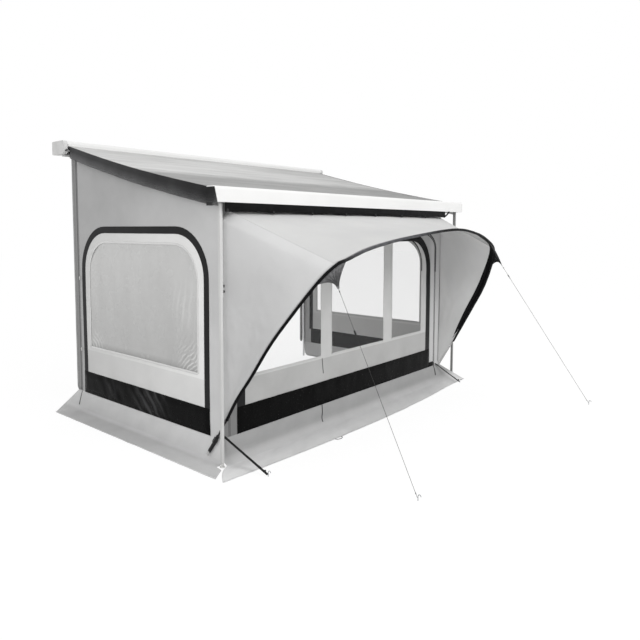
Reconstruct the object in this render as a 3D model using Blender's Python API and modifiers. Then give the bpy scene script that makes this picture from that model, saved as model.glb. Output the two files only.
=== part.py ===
"""A wind-out caravan awning, pitched with its room, sun canopy and guy lines.

Metres, +Z up. +X runs along the vehicle, and the vehicle stands on the +Y side.
In the sizes below, "out" is a distance from the back of the cassette towards -Y,
and "up" is a height above the ground. Everything hangs from one empty, which puts
the middle of the ground under the awning at the world's origin.
"""
import math

import bmesh
import bpy
from mathutils import Matrix, Vector

for old in list(bpy.data.objects):
    bpy.data.objects.remove(old, do_unlink=True)

# Clearances and small shared sizes
seat_gap = 0.0003
running_gap = 0.0005
cut_overrun = 0.004
merge_distance = 0.00005
cloth = 0.002
foil = 0.001
round_sides = 20
corner_steps = 5

# Awning: cassette, roller, lead rail
awning_half_length = 1.999
cap_width = 0.04
cassette_depth = 0.235
cassette_height = 0.13
cassette_top = 2.71
cassette_wall = 0.004
cassette_radius = 0.028
top_lip = 0.034
tray_depth = 0.12
drip_lip = 0.018
roller_radius = 0.038
roller_wall = 0.0025
roller_rise = 0.070
roller_out = 0.095
axle_radius = 0.010
axle_length = 0.022
axle_bore = 0.004
rail_underside = 2.05
rail_height = 0.12
rail_depth = 0.085
rail_wall = 0.003
rail_radius = 0.022
rail_cap_width = 0.025
rail_overhang = 0.05

# Winding eye on the left end of the cassette
eye_shaft_radius = 0.005
eye_ring_radius = 0.011
eye_wire_radius = 0.0034
eye_inset = 0.018
eye_drop = 0.098
eye_socket_depth = 0.035

# Roof cloth and its hanging bands
leg_reach = 2.40
roof_inset = 0.06
roof_front_drop = 0.010
roof_sag = 0.030
side_band_rear = 0.115
side_band_front = 0.140
side_band_gap = 0.006
side_band_flutter = 0.004
side_band_columns = 18
side_band_wrap_top = 0.006
side_band_wrap_bottom = 0.040
front_band_drop = 0.068
front_band_scallop = 0.005
front_band_loops = 6
front_band_left_gap = 0.013
front_band_right_run = -0.055

# Support legs
leg_inset = 0.10
leg_tube = 0.028
leg_tube_wall = 0.0016
outer_leg_length = 0.71
leg_top_play = 0.010
leg_slide_play = 0.0004
inner_leg_overlap = 0.29
inner_leg_bottom = 0.036
leg_corner = 0.003
knuckle_height = 0.050
knuckle_pin_radius = 0.005
knuckle_pin_drop = 0.018
knob_rise = 0.042
knob_radius = 0.0105
knob_lobe = 0.0014
knob_lobes = 6
knob_length = 0.017
knob_shaft_radius = 0.004
foot_radius = 0.022
foot_thickness = 0.006
foot_pivot_up = 0.022
foot_pin_radius = 0.003
foot_tongue = 0.011
foot_ear = 0.004
foot_ear_half = 0.008
foot_tongue_drop = 0.009

# Folding arms under the roof
shoulder_inset = 0.549
shoulder_out = 0.175
shoulder_rise = 0.014
wrist_back = 0.025
wrist_rise = 0.05
elbow_offset = 0.22
arm_half_width = 0.021
arm_thickness = 0.026
arm_tongue = 0.012
arm_pin_radius = 0.007
elbow_reach = 0.030
elbow_step = 0.036
shoulder_half = 0.030
shoulder_head = 0.035
shoulder_nose = 0.024
shoulder_cheek = 0.008
shoulder_plate = 0.0135
shoulder_plate_back = 0.02
wrist_half = 0.025
wrist_height = 0.040

# Tension rafters and rear poles
rafter_radius = 0.0125
pole_wall = 0.0015
rafter_inset = 0.06
rafter_rear_drop = 0.008
rafter_front_rise = 0.05
rear_pole_radius = 0.0125
rear_pole_out = 0.205
rear_pole_drop = 0.012

# Room
room_wall_inset = 0.020
room_right_inset = 0.378
room_rear_out = 0.14
pad_depth = 0.035
pad_thickness = 0.030
skirt_top = 0.208
front_skirt_inset = 0.008
strip_top = 0.425

# Side wall openings, measured from the wall's own edges and the ground
side_frame_rear = 0.130
side_frame_front = 0.128
side_frame_drop = 0.180
side_frame_radius = 0.42
side_frame_band = 0.062
side_pane_rear = 0.265
side_pane_front = 0.268
side_pane_bottom = 0.685
side_pane_drop = 0.325
side_pane_radius = 0.30
pane_lap = 0.015

# Front wall openings
front_frame_left = 0.167
front_frame_right = 0.243
front_frame_drop = 0.25
front_frame_radius = 0.42
front_frame_band = 0.090
front_pane_left = 0.300
front_pane_right = 0.444
front_pane_bottom = 0.665
front_pane_drop = 0.32
front_pane_radius = 0.32
divider_width = 0.157
divider_left_share = 0.3663
divider_right_share = 0.7449

# Skirts
side_skirt_reach = 0.210
front_skirt_reach = 0.320
front_skirt_left_share = 0.80
front_skirt_right_share = 0.64
skirt_bend = 0.030
skirt_rear_flare = 0.090
skirt_side_flare = 0.250
front_skirt_left_flare = 0.263
front_skirt_right_flare = 0.436
skirt_foot_clear = 0.065
skirt_fold = 0.006
skirt_folds = 9
skirt_ground_fold = 0.010

# Sun canopy on its arch pole
arch_leg_gap = 0.05
canopy_reach = 0.926
arch_drop = 0.209
pole_radius = 0.0080
sleeve_radius = 0.0115
sleeve_wall = 0.0030
pole_tail = 0.020
canopy_drop = 0.085
canopy_shoulder = 0.065
canopy_left_inset = 0.020
canopy_right_inset = 0.012
canopy_left_foot = 0.355
canopy_right_foot = 0.215
canopy_wall_gap = 0.0018
canopy_sag = 0.030
canopy_rows = 7
left_gusset_reach = 0.260
right_gusset_reach = 0.155
gusset_tip_width = 0.018
gusset_samples = 200

# Arch route from the left end to the right end: shares of the half width, of the
# canopy's reach in front of the wall, and of the arch's height
arch_route_share = (
    (-1.000, 0.030, 0.194), (-0.971, 0.099, 0.285), (-0.942, 0.218, 0.389),
    (-0.923, 0.382, 0.521), (-0.891, 0.515, 0.625), (-0.824, 0.726, 0.787),
    (-0.761, 0.817, 0.859), (-0.700, 0.847, 0.881), (-0.570, 0.902, 0.924),
    (-0.313, 0.957, 0.966), (0.074, 1.000, 1.000), (0.342, 0.974, 0.980),
    (0.546, 0.922, 0.940), (0.714, 0.853, 0.886), (0.830, 0.733, 0.794),
    (0.942, 0.526, 0.633), (0.986, 0.347, 0.494), (0.996, 0.078, 0.253),
)
arch_left_corner = 6
arch_right_corner = 13
arch_steps = 3

# Guy lines: hand-chosen ends of each taut cord, as (x, out, up)
guy_radius = 0.0015
guy_points = 12
left_guy_route = ((-1.469, 3.196, 1.416), (-1.398, 3.827, 0.020))
right_guy_route = ((1.470, 3.196, 1.440), (1.754, 4.043, 0.020))
left_runner_share = 0.22
right_runner_share = 0.075
runner_length = 0.032
runner_width = 0.013
runner_thickness = 0.008
runner_bore = 0.0022

# Pegs, corner straps and the zip slider
peg_radius = 0.003
peg_height = 0.045
peg_hook = 0.022
peg_route_share = ((0, 0), (0, 0.75), (0.2, 0.93), (0.55, 1.0), (0.9, 0.9), (1.0, 0.7))
strap_width = 0.025
strap_thickness = 0.002
strap_up = 0.226
left_strap_inset = 0.025
left_strap_sideways = 0.066
left_strap_reach = 0.416
right_strap_inset = 0.090
right_strap_sideways = 0.150
right_strap_reach = 0.250
zip_inset = 0.131
slider_up = 0.230
slider_width = 0.009
slider_length = 0.014
slider_depth = 0.005
tab_width = 0.007
tab_length = 0.034
tab_depth = 0.0016

# Places worked out from the sizes above
leg_x = awning_half_length - leg_inset
cap_face = awning_half_length - cap_width
cassette_bottom = cassette_top - cassette_height
rail_top = rail_underside + rail_height
rail_front = leg_reach + rail_overhang
rail_back = rail_front - rail_depth
roof_half = awning_half_length - roof_inset
roller_up = cassette_bottom + roller_rise
roof_front_up = rail_top - roof_front_drop
leg_tube_bottom = rail_underside - leg_top_play - outer_leg_length
inner_leg_top = leg_tube_bottom + inner_leg_overlap
knob_up = leg_tube_bottom + knob_rise
shoulder_x = awning_half_length - shoulder_inset
shoulder_up = cassette_bottom + shoulder_rise
wrist_up = rail_underside + wrist_rise
rafter_rear_up = cassette_bottom - rafter_rear_drop
rafter_front_up = rail_underside + rafter_front_rise
side_frame_top = rail_underside - side_frame_drop
side_pane_top = rail_underside - side_pane_drop
front_frame_top = rail_underside - front_frame_drop
front_pane_top = rail_underside - front_pane_drop
arch_height = rail_underside - arch_drop
canopy_top = rail_underside - canopy_drop
room_left = room_wall_inset - leg_x
room_right = awning_half_length - room_right_inset
wall_out = rail_back + rail_wall
wall_rear = room_rear_out + pad_depth
arch_half_width = leg_x - arch_leg_gap
frame_shift_x = (side_skirt_reach - cloth / 2 - room_left - awning_half_length) / 2
frame_shift_y = (wall_out + canopy_reach + sleeve_radius) / 2


def new_collection(name):
    made = bpy.data.collections.new(name)
    bpy.context.scene.collection.children.link(made)
    return made


parts = new_collection("caravan_awning")
cutters = new_collection("cutters")
stand = bpy.data.objects.new("awning_origin", None)
stand.location = (frame_shift_x, frame_shift_y, 0)
parts.objects.link(stand)


def finish(name, color, roughness, metallic=0.0, alpha=1.0):
    made = bpy.data.materials.new(name)
    made.use_nodes = True
    shader = made.node_tree.nodes["Principled BSDF"]
    shader.inputs["Base Color"].default_value = (*color, 1.0)
    shader.inputs["Roughness"].default_value = roughness
    shader.inputs["Metallic"].default_value = metallic
    shader.inputs["Alpha"].default_value = alpha
    return made


def at(x, out, up):
    return Vector((x, -out, up))


def put(obj, name, look=None, parent=None):
    """Link a part under its parent with a material of its own."""
    obj.name = name
    obj.data.name = name
    parts.objects.link(obj)
    obj.parent = parent or stand
    if look:
        obj.data.materials.append(finish(name, *look))
    return obj


def from_bmesh(bm, name, look=None, parent=None):
    mesh = bpy.data.meshes.new(name)
    bm.to_mesh(mesh)
    bm.free()
    return put(bpy.data.objects.new(name, mesh), name, look, parent)


def as_mesh(obj, name, look, parent=None):
    """Make a curve object a welded mesh object with the same place."""
    bpy.context.view_layer.update()
    graph = bpy.context.evaluated_depsgraph_get()
    mesh = bpy.data.meshes.new_from_object(obj.evaluated_get(graph))
    place = obj.matrix_basis.copy()
    old_curve = obj.data
    bpy.data.objects.remove(obj, do_unlink=True)
    bpy.data.curves.remove(old_curve)
    bm = bmesh.new()
    bm.from_mesh(mesh)
    bmesh.ops.remove_doubles(bm, verts=bm.verts, dist=merge_distance)
    bm.to_mesh(mesh)
    bm.free()
    mesh.materials.clear()
    made = put(bpy.data.objects.new(name, mesh), name, look, parent)
    made.matrix_basis = place
    return made


def plate(name, loops, thickness, look, turn=(0, 0, 0), place=(0, 0, 0), parent=None):
    """A flat piece with the given outline and holes, centred on its own plane."""
    curve = bpy.data.curves.new(name, "CURVE")
    curve.dimensions = "2D"
    curve.fill_mode = "BOTH"
    curve.extrude = thickness / 2
    for loop in loops:
        spline = curve.splines.new("POLY")
        spline.points.add(len(loop) - 1)
        for point, (across, along) in zip(spline.points, loop):
            point.co = (across, along, 0, 1)
        spline.use_cyclic_u = True
    obj = bpy.data.objects.new(name, curve)
    bpy.context.scene.collection.objects.link(obj)
    obj.rotation_euler = turn
    obj.location = place
    return as_mesh(obj, name, look, parent)


side_turn = (math.pi / 2, 0, -math.pi / 2)
front_turn = (math.pi / 2, 0, 0)


def rounded(corners, radii):
    """A closed outline whose corners are arcs, each with its own radius."""
    outline = []
    for index, (corner, radius) in enumerate(zip(corners, radii)):
        if radius == 0:
            outline.append(tuple(corner))
            continue
        here = Vector(corner)
        before = (Vector(corners[index - 1]) - here).normalized()
        after = (Vector(corners[(index + 1) % len(corners)]) - here).normalized()
        half = before.angle(after) / 2
        centre = here + (before + after).normalized() * radius / math.sin(half)
        start = here + before * radius / math.tan(half) - centre
        end = here + after * radius / math.tan(half) - centre
        first = math.atan2(start.y, start.x)
        sweep = math.atan2(start.cross(end), start.dot(end))
        for step in range(corner_steps + 1):
            angle = first + sweep * step / corner_steps
            outline.append((centre.x + radius * math.cos(angle), centre.y + radius * math.sin(angle)))
    return outline


def rectangle(left, right, bottom, top, radii=(0, 0, 0, 0)):
    """Rounded rectangle from bottom left, anticlockwise."""
    return rounded(((left, bottom), (right, bottom), (right, top), (left, top)), radii)


def sheet(name, columns, rows, place, thickness, look, parent=None):
    """A thin curved piece: a unit grid put in place by a formula, with Solidify."""
    bm = bmesh.new()
    bmesh.ops.create_grid(bm, x_segments=columns, y_segments=rows, size=1)
    for vert in bm.verts:
        vert.co = place((vert.co.x + 1) / 2, (vert.co.y + 1) / 2)
    obj = from_bmesh(bm, name, look, parent)
    shell = obj.modifiers.new("thickness", "SOLIDIFY")
    shell.thickness = thickness
    shell.offset = 0
    shell.use_even_offset = True
    obj.data.shade_smooth()
    return obj


def block(name, low, high, look=None, parent=None):
    bm = bmesh.new()
    bmesh.ops.create_cube(bm, size=1)
    for vert in bm.verts:
        for axis in range(3):
            vert.co[axis] = (high if vert.co[axis] > 0 else low)[axis]
    return from_bmesh(bm, name, look, parent)


def aim(start, end):
    """The placing of a unit part along +Z onto the line from start to end."""
    turn = (end - start).to_track_quat("Z", "Y").to_matrix().to_4x4()
    return Matrix.Translation((start + end) / 2) @ turn


def rod(name, start, end, radius, look=None, parent=None, sides=round_sides):
    bm = bmesh.new()
    bmesh.ops.create_cone(bm, cap_ends=True, segments=sides, radius1=radius, radius2=radius,
                          depth=(end - start).length, matrix=aim(start, end))
    obj = from_bmesh(bm, name, look, parent)
    obj.data.shade_smooth()
    obj.data.set_sharp_from_angle(angle=math.radians(40))
    return obj


def pipe(name, start, end, radius, wall, look):
    """An open-ended straight tube: a cylinder's side with Solidify."""
    bm = bmesh.new()
    bmesh.ops.create_cone(bm, cap_ends=False, segments=round_sides, radius1=radius, radius2=radius,
                          depth=(end - start).length, matrix=aim(start, end))
    obj = from_bmesh(bm, name, look)
    shell = obj.modifiers.new("wall", "SOLIDIFY")
    shell.thickness = wall
    obj.data.shade_smooth()
    return obj


def tube_curve(name, route, radius, caps=True):
    """A curve object along a route of points, with a round bevel."""
    curve = bpy.data.curves.new(name, "CURVE")
    curve.dimensions = "3D"
    curve.bevel_depth = radius
    curve.bevel_resolution = 2
    curve.use_fill_caps = caps
    spline = curve.splines.new("POLY")
    spline.points.add(len(route) - 1)
    for point, place in zip(spline.points, route):
        point.co = (*place, 1)
    obj = bpy.data.objects.new(name, curve)
    bpy.context.scene.collection.objects.link(obj)
    return obj


def cord(name, route, radius, look):
    return as_mesh(tube_curve(name, route, radius), name, look)


def hollow_cord(name, route, radius, wall, look):
    """A tube along a curve with both ends open."""
    obj = as_mesh(tube_curve(name, route, radius, caps=False), name, look)
    shell = obj.modifiers.new("wall", "SOLIDIFY")
    shell.thickness = wall
    shell.use_even_offset = True
    obj.data.shade_smooth()
    return obj


def turned(name, profile, centre, look):
    """A profile of (radius, along) points spun about the X axis through centre."""
    bm = bmesh.new()
    ring = [bm.verts.new((along, 0, radius)) for radius, along in profile]
    for index, vert in enumerate(ring):
        bm.edges.new((vert, ring[(index + 1) % len(ring)]))
    obj = from_bmesh(bm, name, look)
    obj.location = centre
    spin = obj.modifiers.new("turn", "SCREW")
    spin.axis = "X"
    spin.steps = round_sides
    spin.render_steps = round_sides
    spin.use_merge_vertices = True
    spin.merge_threshold = merge_distance
    spin.use_normal_flip = True
    return obj


def boolean(target, tool, operation):
    """Cut or join a mesh with another object, which becomes a hidden tool."""
    step = target.modifiers.new(operation.lower(), "BOOLEAN")
    step.operation = operation
    step.object = tool
    tool.hide_render = True
    tool.display_type = "WIRE"
    for holder in list(tool.users_collection):
        holder.objects.unlink(tool)
    cutters.objects.link(tool)


def cut(target, *tools):
    for tool in tools:
        boolean(target, tool, "DIFFERENCE")


def join(target, *tools):
    for tool in tools:
        boolean(target, tool, "UNION")


def lerp(first, last, share):
    return first + (last - first) * share


def smooth(points, steps):
    """Points of a Catmull-Rom curve through the given ones."""
    padded = [2 * points[0] - points[1], *points, 2 * points[-1] - points[-2]]
    route = []
    for index in range(len(points) - 1):
        a, b, c, d = padded[index:index + 4]
        for step in range(steps):
            t = step / steps
            route.append((2 * b + (c - a) * t + (2 * a - 5 * b + 4 * c - d) * t * t
                          + (3 * b - a - 3 * c + d) * t ** 3) / 2)
    route.append(points[-1])
    return route


def along(route, share):
    """The point at a share of a route's length."""
    lengths = [(after - before).length for before, after in zip(route, route[1:])]
    left = share * sum(lengths)
    for start, end, length in zip(route, route[1:], lengths):
        if left <= length:
            return lerp(start, end, left / length)
        left -= length
    return route[-1]


white_metal = ((0.86, 0.86, 0.86), 0.35, 0.0)
silver = ((0.62, 0.63, 0.64), 0.4, 0.9)
steel = ((0.55, 0.55, 0.56), 0.35, 1.0)
black_plastic = ((0.03, 0.03, 0.03), 0.5, 0.0)
grey_plastic = ((0.62, 0.62, 0.62), 0.5, 0.0)
grey_cloth = ((0.42, 0.42, 0.42), 0.85, 0.0)
light_cloth = ((0.62, 0.62, 0.62), 0.8, 0.0)
roof_cloth = ((0.55, 0.55, 0.55), 0.6, 0.0)
black_cloth = ((0.012, 0.012, 0.012), 0.8, 0.0)
clear_foil = ((0.75, 0.77, 0.78), 0.15, 0.0, 0.35)
foam = ((0.5, 0.5, 0.5), 0.95, 0.0)
cord_look = ((0.12, 0.12, 0.12), 0.8, 0.0)


def cassette():
    """Extruded housing: back, top with a front lip, and a tray with a drip lip."""
    half = cassette_wall / 2
    back, top, bottom = half, cassette_top - half, cassette_bottom + half
    front = cassette_depth - half
    tray = tray_depth - half
    path = [(front, top - top_lip)]
    path += cassette_corner(front, top, 0, math.pi / 2, cassette_radius)
    path += cassette_corner(back, top, math.pi / 2, math.pi, cassette_radius / 2)
    path += cassette_corner(back, bottom, math.pi, math.pi * 3 / 2, cassette_radius / 2)
    path += [(tray, bottom), (tray, bottom - drip_lip)]
    last = len(path) - 1

    def place(u, v):
        out, up = path[round(v * last)]
        return at(lerp(-1, 1, u) * (cap_face - seat_gap), out, up)

    return sheet("cassette_housing", 1, last, place, cassette_wall, white_metal)


def cassette_corner(out, up, first, last, radius):
    """Arc that rounds the corner at (out, up); angles run from +out towards +up."""
    side = -1 if math.cos((first + last) / 2) > 0 else 1
    rise = -1 if math.sin((first + last) / 2) > 0 else 1
    centre = (out + side * radius, up + rise * radius)
    angles = [lerp(first, last, step / corner_steps) for step in range(corner_steps + 1)]
    return [(centre[0] + radius * math.cos(a), centre[1] + radius * math.sin(a)) for a in angles]


def roof_up(out):
    """Height of the roof cloth's middle at a distance out, from the roller's top."""
    run = rail_back - roller_out
    slope = math.atan2(roller_up - roof_front_up, run)
    start = roller_up + (roller_radius + cloth / 2 + running_gap * 2) / math.cos(slope)
    share = min(max((out - roller_out) / run, 0), 1)
    return lerp(start, roof_front_up, share) - roof_sag * math.sin(math.pi * share)


def end_caps():
    """Moulded caps that close the cassette and carry the roller's axles."""
    outline = rectangle(0, cassette_depth, cassette_bottom, cassette_top,
                        (cassette_radius / 2, cassette_radius, cassette_radius, cassette_radius / 2))
    width = cap_width - seat_gap
    for side, name in ((-1, "cassette_cap_left"), (1, "cassette_cap_right")):
        middle = side * (awning_half_length - width / 2)
        cap = plate(name, [outline], width, grey_plastic, side_turn, (middle, 0, 0))
        inner = side * (cap_face - cut_overrun)
        deep = side * (cap_face + axle_length + running_gap)
        cut(cap, rod(name + "_bearing", at(inner, roller_out, roller_up),
                     at(deep, roller_out, roller_up), axle_radius + running_gap * 2))
        if side < 0:
            cut(cap, rod(name + "_socket", eye_line(cassette_depth - eye_socket_depth),
                         eye_line(cassette_depth + cut_overrun), eye_shaft_radius + running_gap * 2))


def roller():
    """Winding tube with a hollow axle in each end cap."""
    tube_end = cap_face - running_gap * 2
    axle_end = cap_face + axle_length
    inner = roller_radius - roller_wall
    wall_in = tube_end - roller_wall
    profile = [(axle_bore, -axle_end), (axle_radius, -axle_end), (axle_radius, -tube_end),
               (roller_radius, -tube_end), (roller_radius, tube_end), (axle_radius, tube_end),
               (axle_radius, axle_end), (axle_bore, axle_end), (axle_bore, wall_in),
               (inner, wall_in), (inner, -wall_in), (axle_bore, -wall_in)]
    return turned("roller", profile, at(0, roller_out, roller_up), silver)


def eye_line(out):
    """A point on the winding eye's axis."""
    return at(eye_inset - awning_half_length, out, cassette_top - eye_drop)


def winding_eye():
    """Eye for the crank's hook: a ring on a shaft that enters the left cap."""
    start = eye_line(cassette_depth - eye_socket_depth + running_gap)
    neck = eye_line(cassette_depth + eye_ring_radius)
    shaft = rod("winding_eye", start, neck, eye_shaft_radius, steel, sides=12)
    centre = eye_line(cassette_depth + eye_ring_radius * 2)
    bpy.ops.mesh.primitive_torus_add(major_segments=16, minor_segments=8, major_radius=eye_ring_radius,
                                     minor_radius=eye_wire_radius, location=centre,
                                     rotation=(0, math.pi / 2, 0))
    ring = bpy.context.object
    for holder in list(ring.users_collection):
        holder.objects.unlink(ring)
    put(ring, "winding_eye_ring")
    join(shaft, ring)


def lead_rail():
    """Extruded front rail, open underneath where the legs fold in."""
    half = rail_wall / 2
    front, back, top = rail_front - half, rail_back + half, rail_top - half
    path = [(front, rail_underside)]
    path += cassette_corner(front, top, 0, math.pi / 2, rail_radius)
    path += cassette_corner(back, top, math.pi / 2, math.pi, rail_radius / 2)
    path += [(back, rail_underside)]
    last = len(path) - 1
    half_length = awning_half_length - rail_cap_width - seat_gap

    def place(u, v):
        out, up = path[round(v * last)]
        return at(lerp(-1, 1, u) * half_length, out, up)

    sheet("lead_rail", 1, last, place, rail_wall, white_metal)
    outline = rectangle(rail_back, rail_front, rail_underside, rail_top,
                        (0, 0, rail_radius, rail_radius / 2))
    for side, name in ((-1, "rail_cap_left"), (1, "rail_cap_right")):
        middle = side * (awning_half_length - rail_cap_width / 2)
        plate(name, [outline], rail_cap_width, grey_plastic, side_turn, (middle, 0, 0))


def roof():
    """Roof cloth from the roller to the lead rail."""
    def place(u, v):
        out = lerp(roller_out, rail_back - seat_gap - cloth / 4, v)
        return at(lerp(-roof_half, roof_half, u), out, roof_up(out))

    sheet("roof_fabric", 6, 16, place, cloth, roof_cloth)


def side_band_stations(wraps):
    """The band's columns from rear to front, each as its places (x, out) at top and bottom."""
    hang_x = roof_half + cloth / 2 + seat_gap
    rear = cassette_depth + side_band_gap
    front = rail_back - side_band_gap
    stations = []
    for step in range(side_band_columns + 1):
        share = step / side_band_columns
        flutter = side_band_flutter * (1 - math.cos(6 * math.pi * share))
        out = lerp(rear, front, share)
        stations.append(((hang_x, out), (hang_x + flutter, out)))
    if wraps:
        back = rail_back - seat_gap - cloth / 2
        outer = awning_half_length + seat_gap + cloth / 2
        face = rail_front + seat_gap + cloth / 2
        for corner in ((hang_x, back), (outer, back), (outer, face)):
            stations.append((corner, corner))
        stations.append(((outer - side_band_wrap_top, face), (outer - side_band_wrap_bottom, face)))
    return stations


def side_bands():
    """Dark bands on the roof's side edges. The left one goes on round the rail's end cap."""
    for side, name in ((-1, "side_valance_left"), (1, "side_valance_right")):
        stations = side_band_stations(side < 0)
        last = len(stations) - 1

        def place(u, v, side=side, stations=stations, last=last):
            top, bottom = stations[round(u * last)]
            x, out = (lerp(high, low, v) for high, low in zip(top, bottom))
            drop = lerp(side_band_rear, side_band_front, u) * v
            return at(side * x, out, roof_up(out) + cloth / 2 - drop)

        sheet(name, last, 2, place, cloth, black_cloth)


def front_band():
    """Black band under the lead rail, drawn up at its loops."""
    left = room_left + front_band_left_gap
    right = room_right + front_band_right_run

    def place(u, v):
        scallop = front_band_scallop * math.cos(2 * math.pi * front_band_loops * u)
        drop = (front_band_drop + scallop) * v
        return at(lerp(left, right, u), rail_front - rail_wall / 2, rail_underside - seat_gap - drop)

    sheet("front_valance", 8 * front_band_loops, 2, place, rail_wall, black_cloth)


def square_tube(name, x, bottom, top, width, wall, look):
    half = width / 2
    hole = half - wall
    outer = rectangle(-half, half, -half, half, (leg_corner,) * 4)
    inner = rectangle(-hole, hole, -hole, hole, (leg_corner / 2,) * 4)
    return plate(name, [outer, inner], top - bottom, look, (0, 0, 0), at(x, leg_reach, (top + bottom) / 2))


def leg(side, end):
    """Telescopic support leg: outer tube with knuckle, inner tube, knob and foot."""
    x = side * leg_x
    top = rail_underside - leg_top_play
    bore = leg_tube / 2 - leg_tube_wall
    outer = square_tube(f"outer_leg_{end}", x, leg_tube_bottom, top, leg_tube, leg_tube_wall, white_metal)
    knuckle_top = rail_underside + knuckle_height
    pin_up = knuckle_top - knuckle_pin_drop
    inside = rail_back + rail_wall + seat_gap, rail_front - rail_wall - seat_gap
    grip = bore + leg_tube_wall / 2
    knuckle = block(f"knuckle_{end}", at(x - grip, leg_reach + grip, top - knuckle_height),
                    at(x + grip, leg_reach - grip, knuckle_top))
    pin = rod(f"knuckle_pin_{end}", at(x, inside[0], pin_up), at(x, inside[1], pin_up), knuckle_pin_radius)
    screw_start = at(x - side * (bore - cut_overrun), leg_reach, knob_up)
    screw_end = at(x - side * (leg_tube / 2 + cut_overrun), leg_reach, knob_up)
    join(outer, knuckle, pin)
    cut(outer, rod(f"screw_hole_{end}", screw_start, screw_end, knob_shaft_radius + running_gap))
    inner_leg(x, end, bore - leg_slide_play)
    knob(x, side, end, bore)
    foot(x, end)


def inner_leg(x, end, half):
    """Inner tube with a plug and the tongue that the foot tilts on."""
    wall = leg_tube_wall
    tube = square_tube(f"inner_leg_{end}", x, inner_leg_bottom, inner_leg_top, half * 2, wall, white_metal)
    grip = half - wall / 2
    plug = block(f"plug_{end}", at(x - grip, leg_reach + grip, inner_leg_bottom),
                 at(x + grip, leg_reach - grip, inner_leg_bottom + half))
    tongue = block(f"tongue_{end}", at(x - foot_tongue / 2, leg_reach + foot_ear_half, foot_pivot_up
                                       - foot_tongue_drop),
                   at(x + foot_tongue / 2, leg_reach - foot_ear_half, inner_leg_bottom + wall))
    reach = foot_tongue / 2 + cut_overrun
    hole = rod(f"foot_bore_{end}", at(x - reach, leg_reach, foot_pivot_up),
               at(x + reach, leg_reach, foot_pivot_up), foot_pin_radius + running_gap)
    join(tube, plug, tongue)
    cut(tube, hole)


def knob(x, side, end, bore):
    """Lobed clamp screw on the leg's inner side."""
    face = leg_tube / 2 + running_gap
    steps = knob_lobes * 6
    outline = []
    for step in range(steps):
        angle = 2 * math.pi * step / steps
        radius = knob_radius + knob_lobe * math.cos(knob_lobes * angle)
        outline.append((radius * math.cos(angle), radius * math.sin(angle)))
    middle = x - side * (face + knob_length / 2)
    head = plate(f"leg_knob_{end}", [outline], knob_length, black_plastic, side_turn,
                 at(middle, leg_reach, knob_up))
    tip = x - side * (bore - leg_slide_play + seat_gap)
    shaft = rod(f"knob_shaft_{end}", at(tip, leg_reach, knob_up), at(middle, leg_reach, knob_up),
                knob_shaft_radius, sides=12)
    join(head, shaft)


def foot(x, end):
    """Round foot plate with two ears and the pin it tilts on."""
    base = rod(f"foot_{end}", at(x, leg_reach, 0), at(x, leg_reach, foot_thickness), foot_radius,
               black_plastic)
    inner = foot_tongue / 2 + running_gap
    pieces = []
    for side in (-1, 1):
        near, far = sorted((x + side * inner, x + side * (inner + foot_ear)))
        pieces.append(block(f"ear_{end}_{near:.3f}", at(near, leg_reach + foot_ear_half, foot_thickness / 2),
                            at(far, leg_reach - foot_ear_half, foot_pivot_up + foot_ear_half)))
    reach = inner + foot_ear / 2
    pieces.append(rod(f"foot_pin_{end}", at(x - reach, leg_reach, foot_pivot_up),
                      at(x + reach, leg_reach, foot_pivot_up), foot_pin_radius))
    join(base, *pieces)


def link_outline(start, end, half_width):
    """The outline of a bar with round ends, in the arm's own plane."""
    run = Vector(end) - Vector(start)
    heading = math.atan2(run.y, run.x)
    outline = []
    for centre, turn in ((end, -math.pi / 2), (start, math.pi / 2)):
        for step in range(2 * corner_steps + 1):
            angle = heading + turn + math.pi * step / (2 * corner_steps)
            outline.append((centre[0] + half_width * math.cos(angle),
                            centre[1] + half_width * math.sin(angle)))
    return outline


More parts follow.
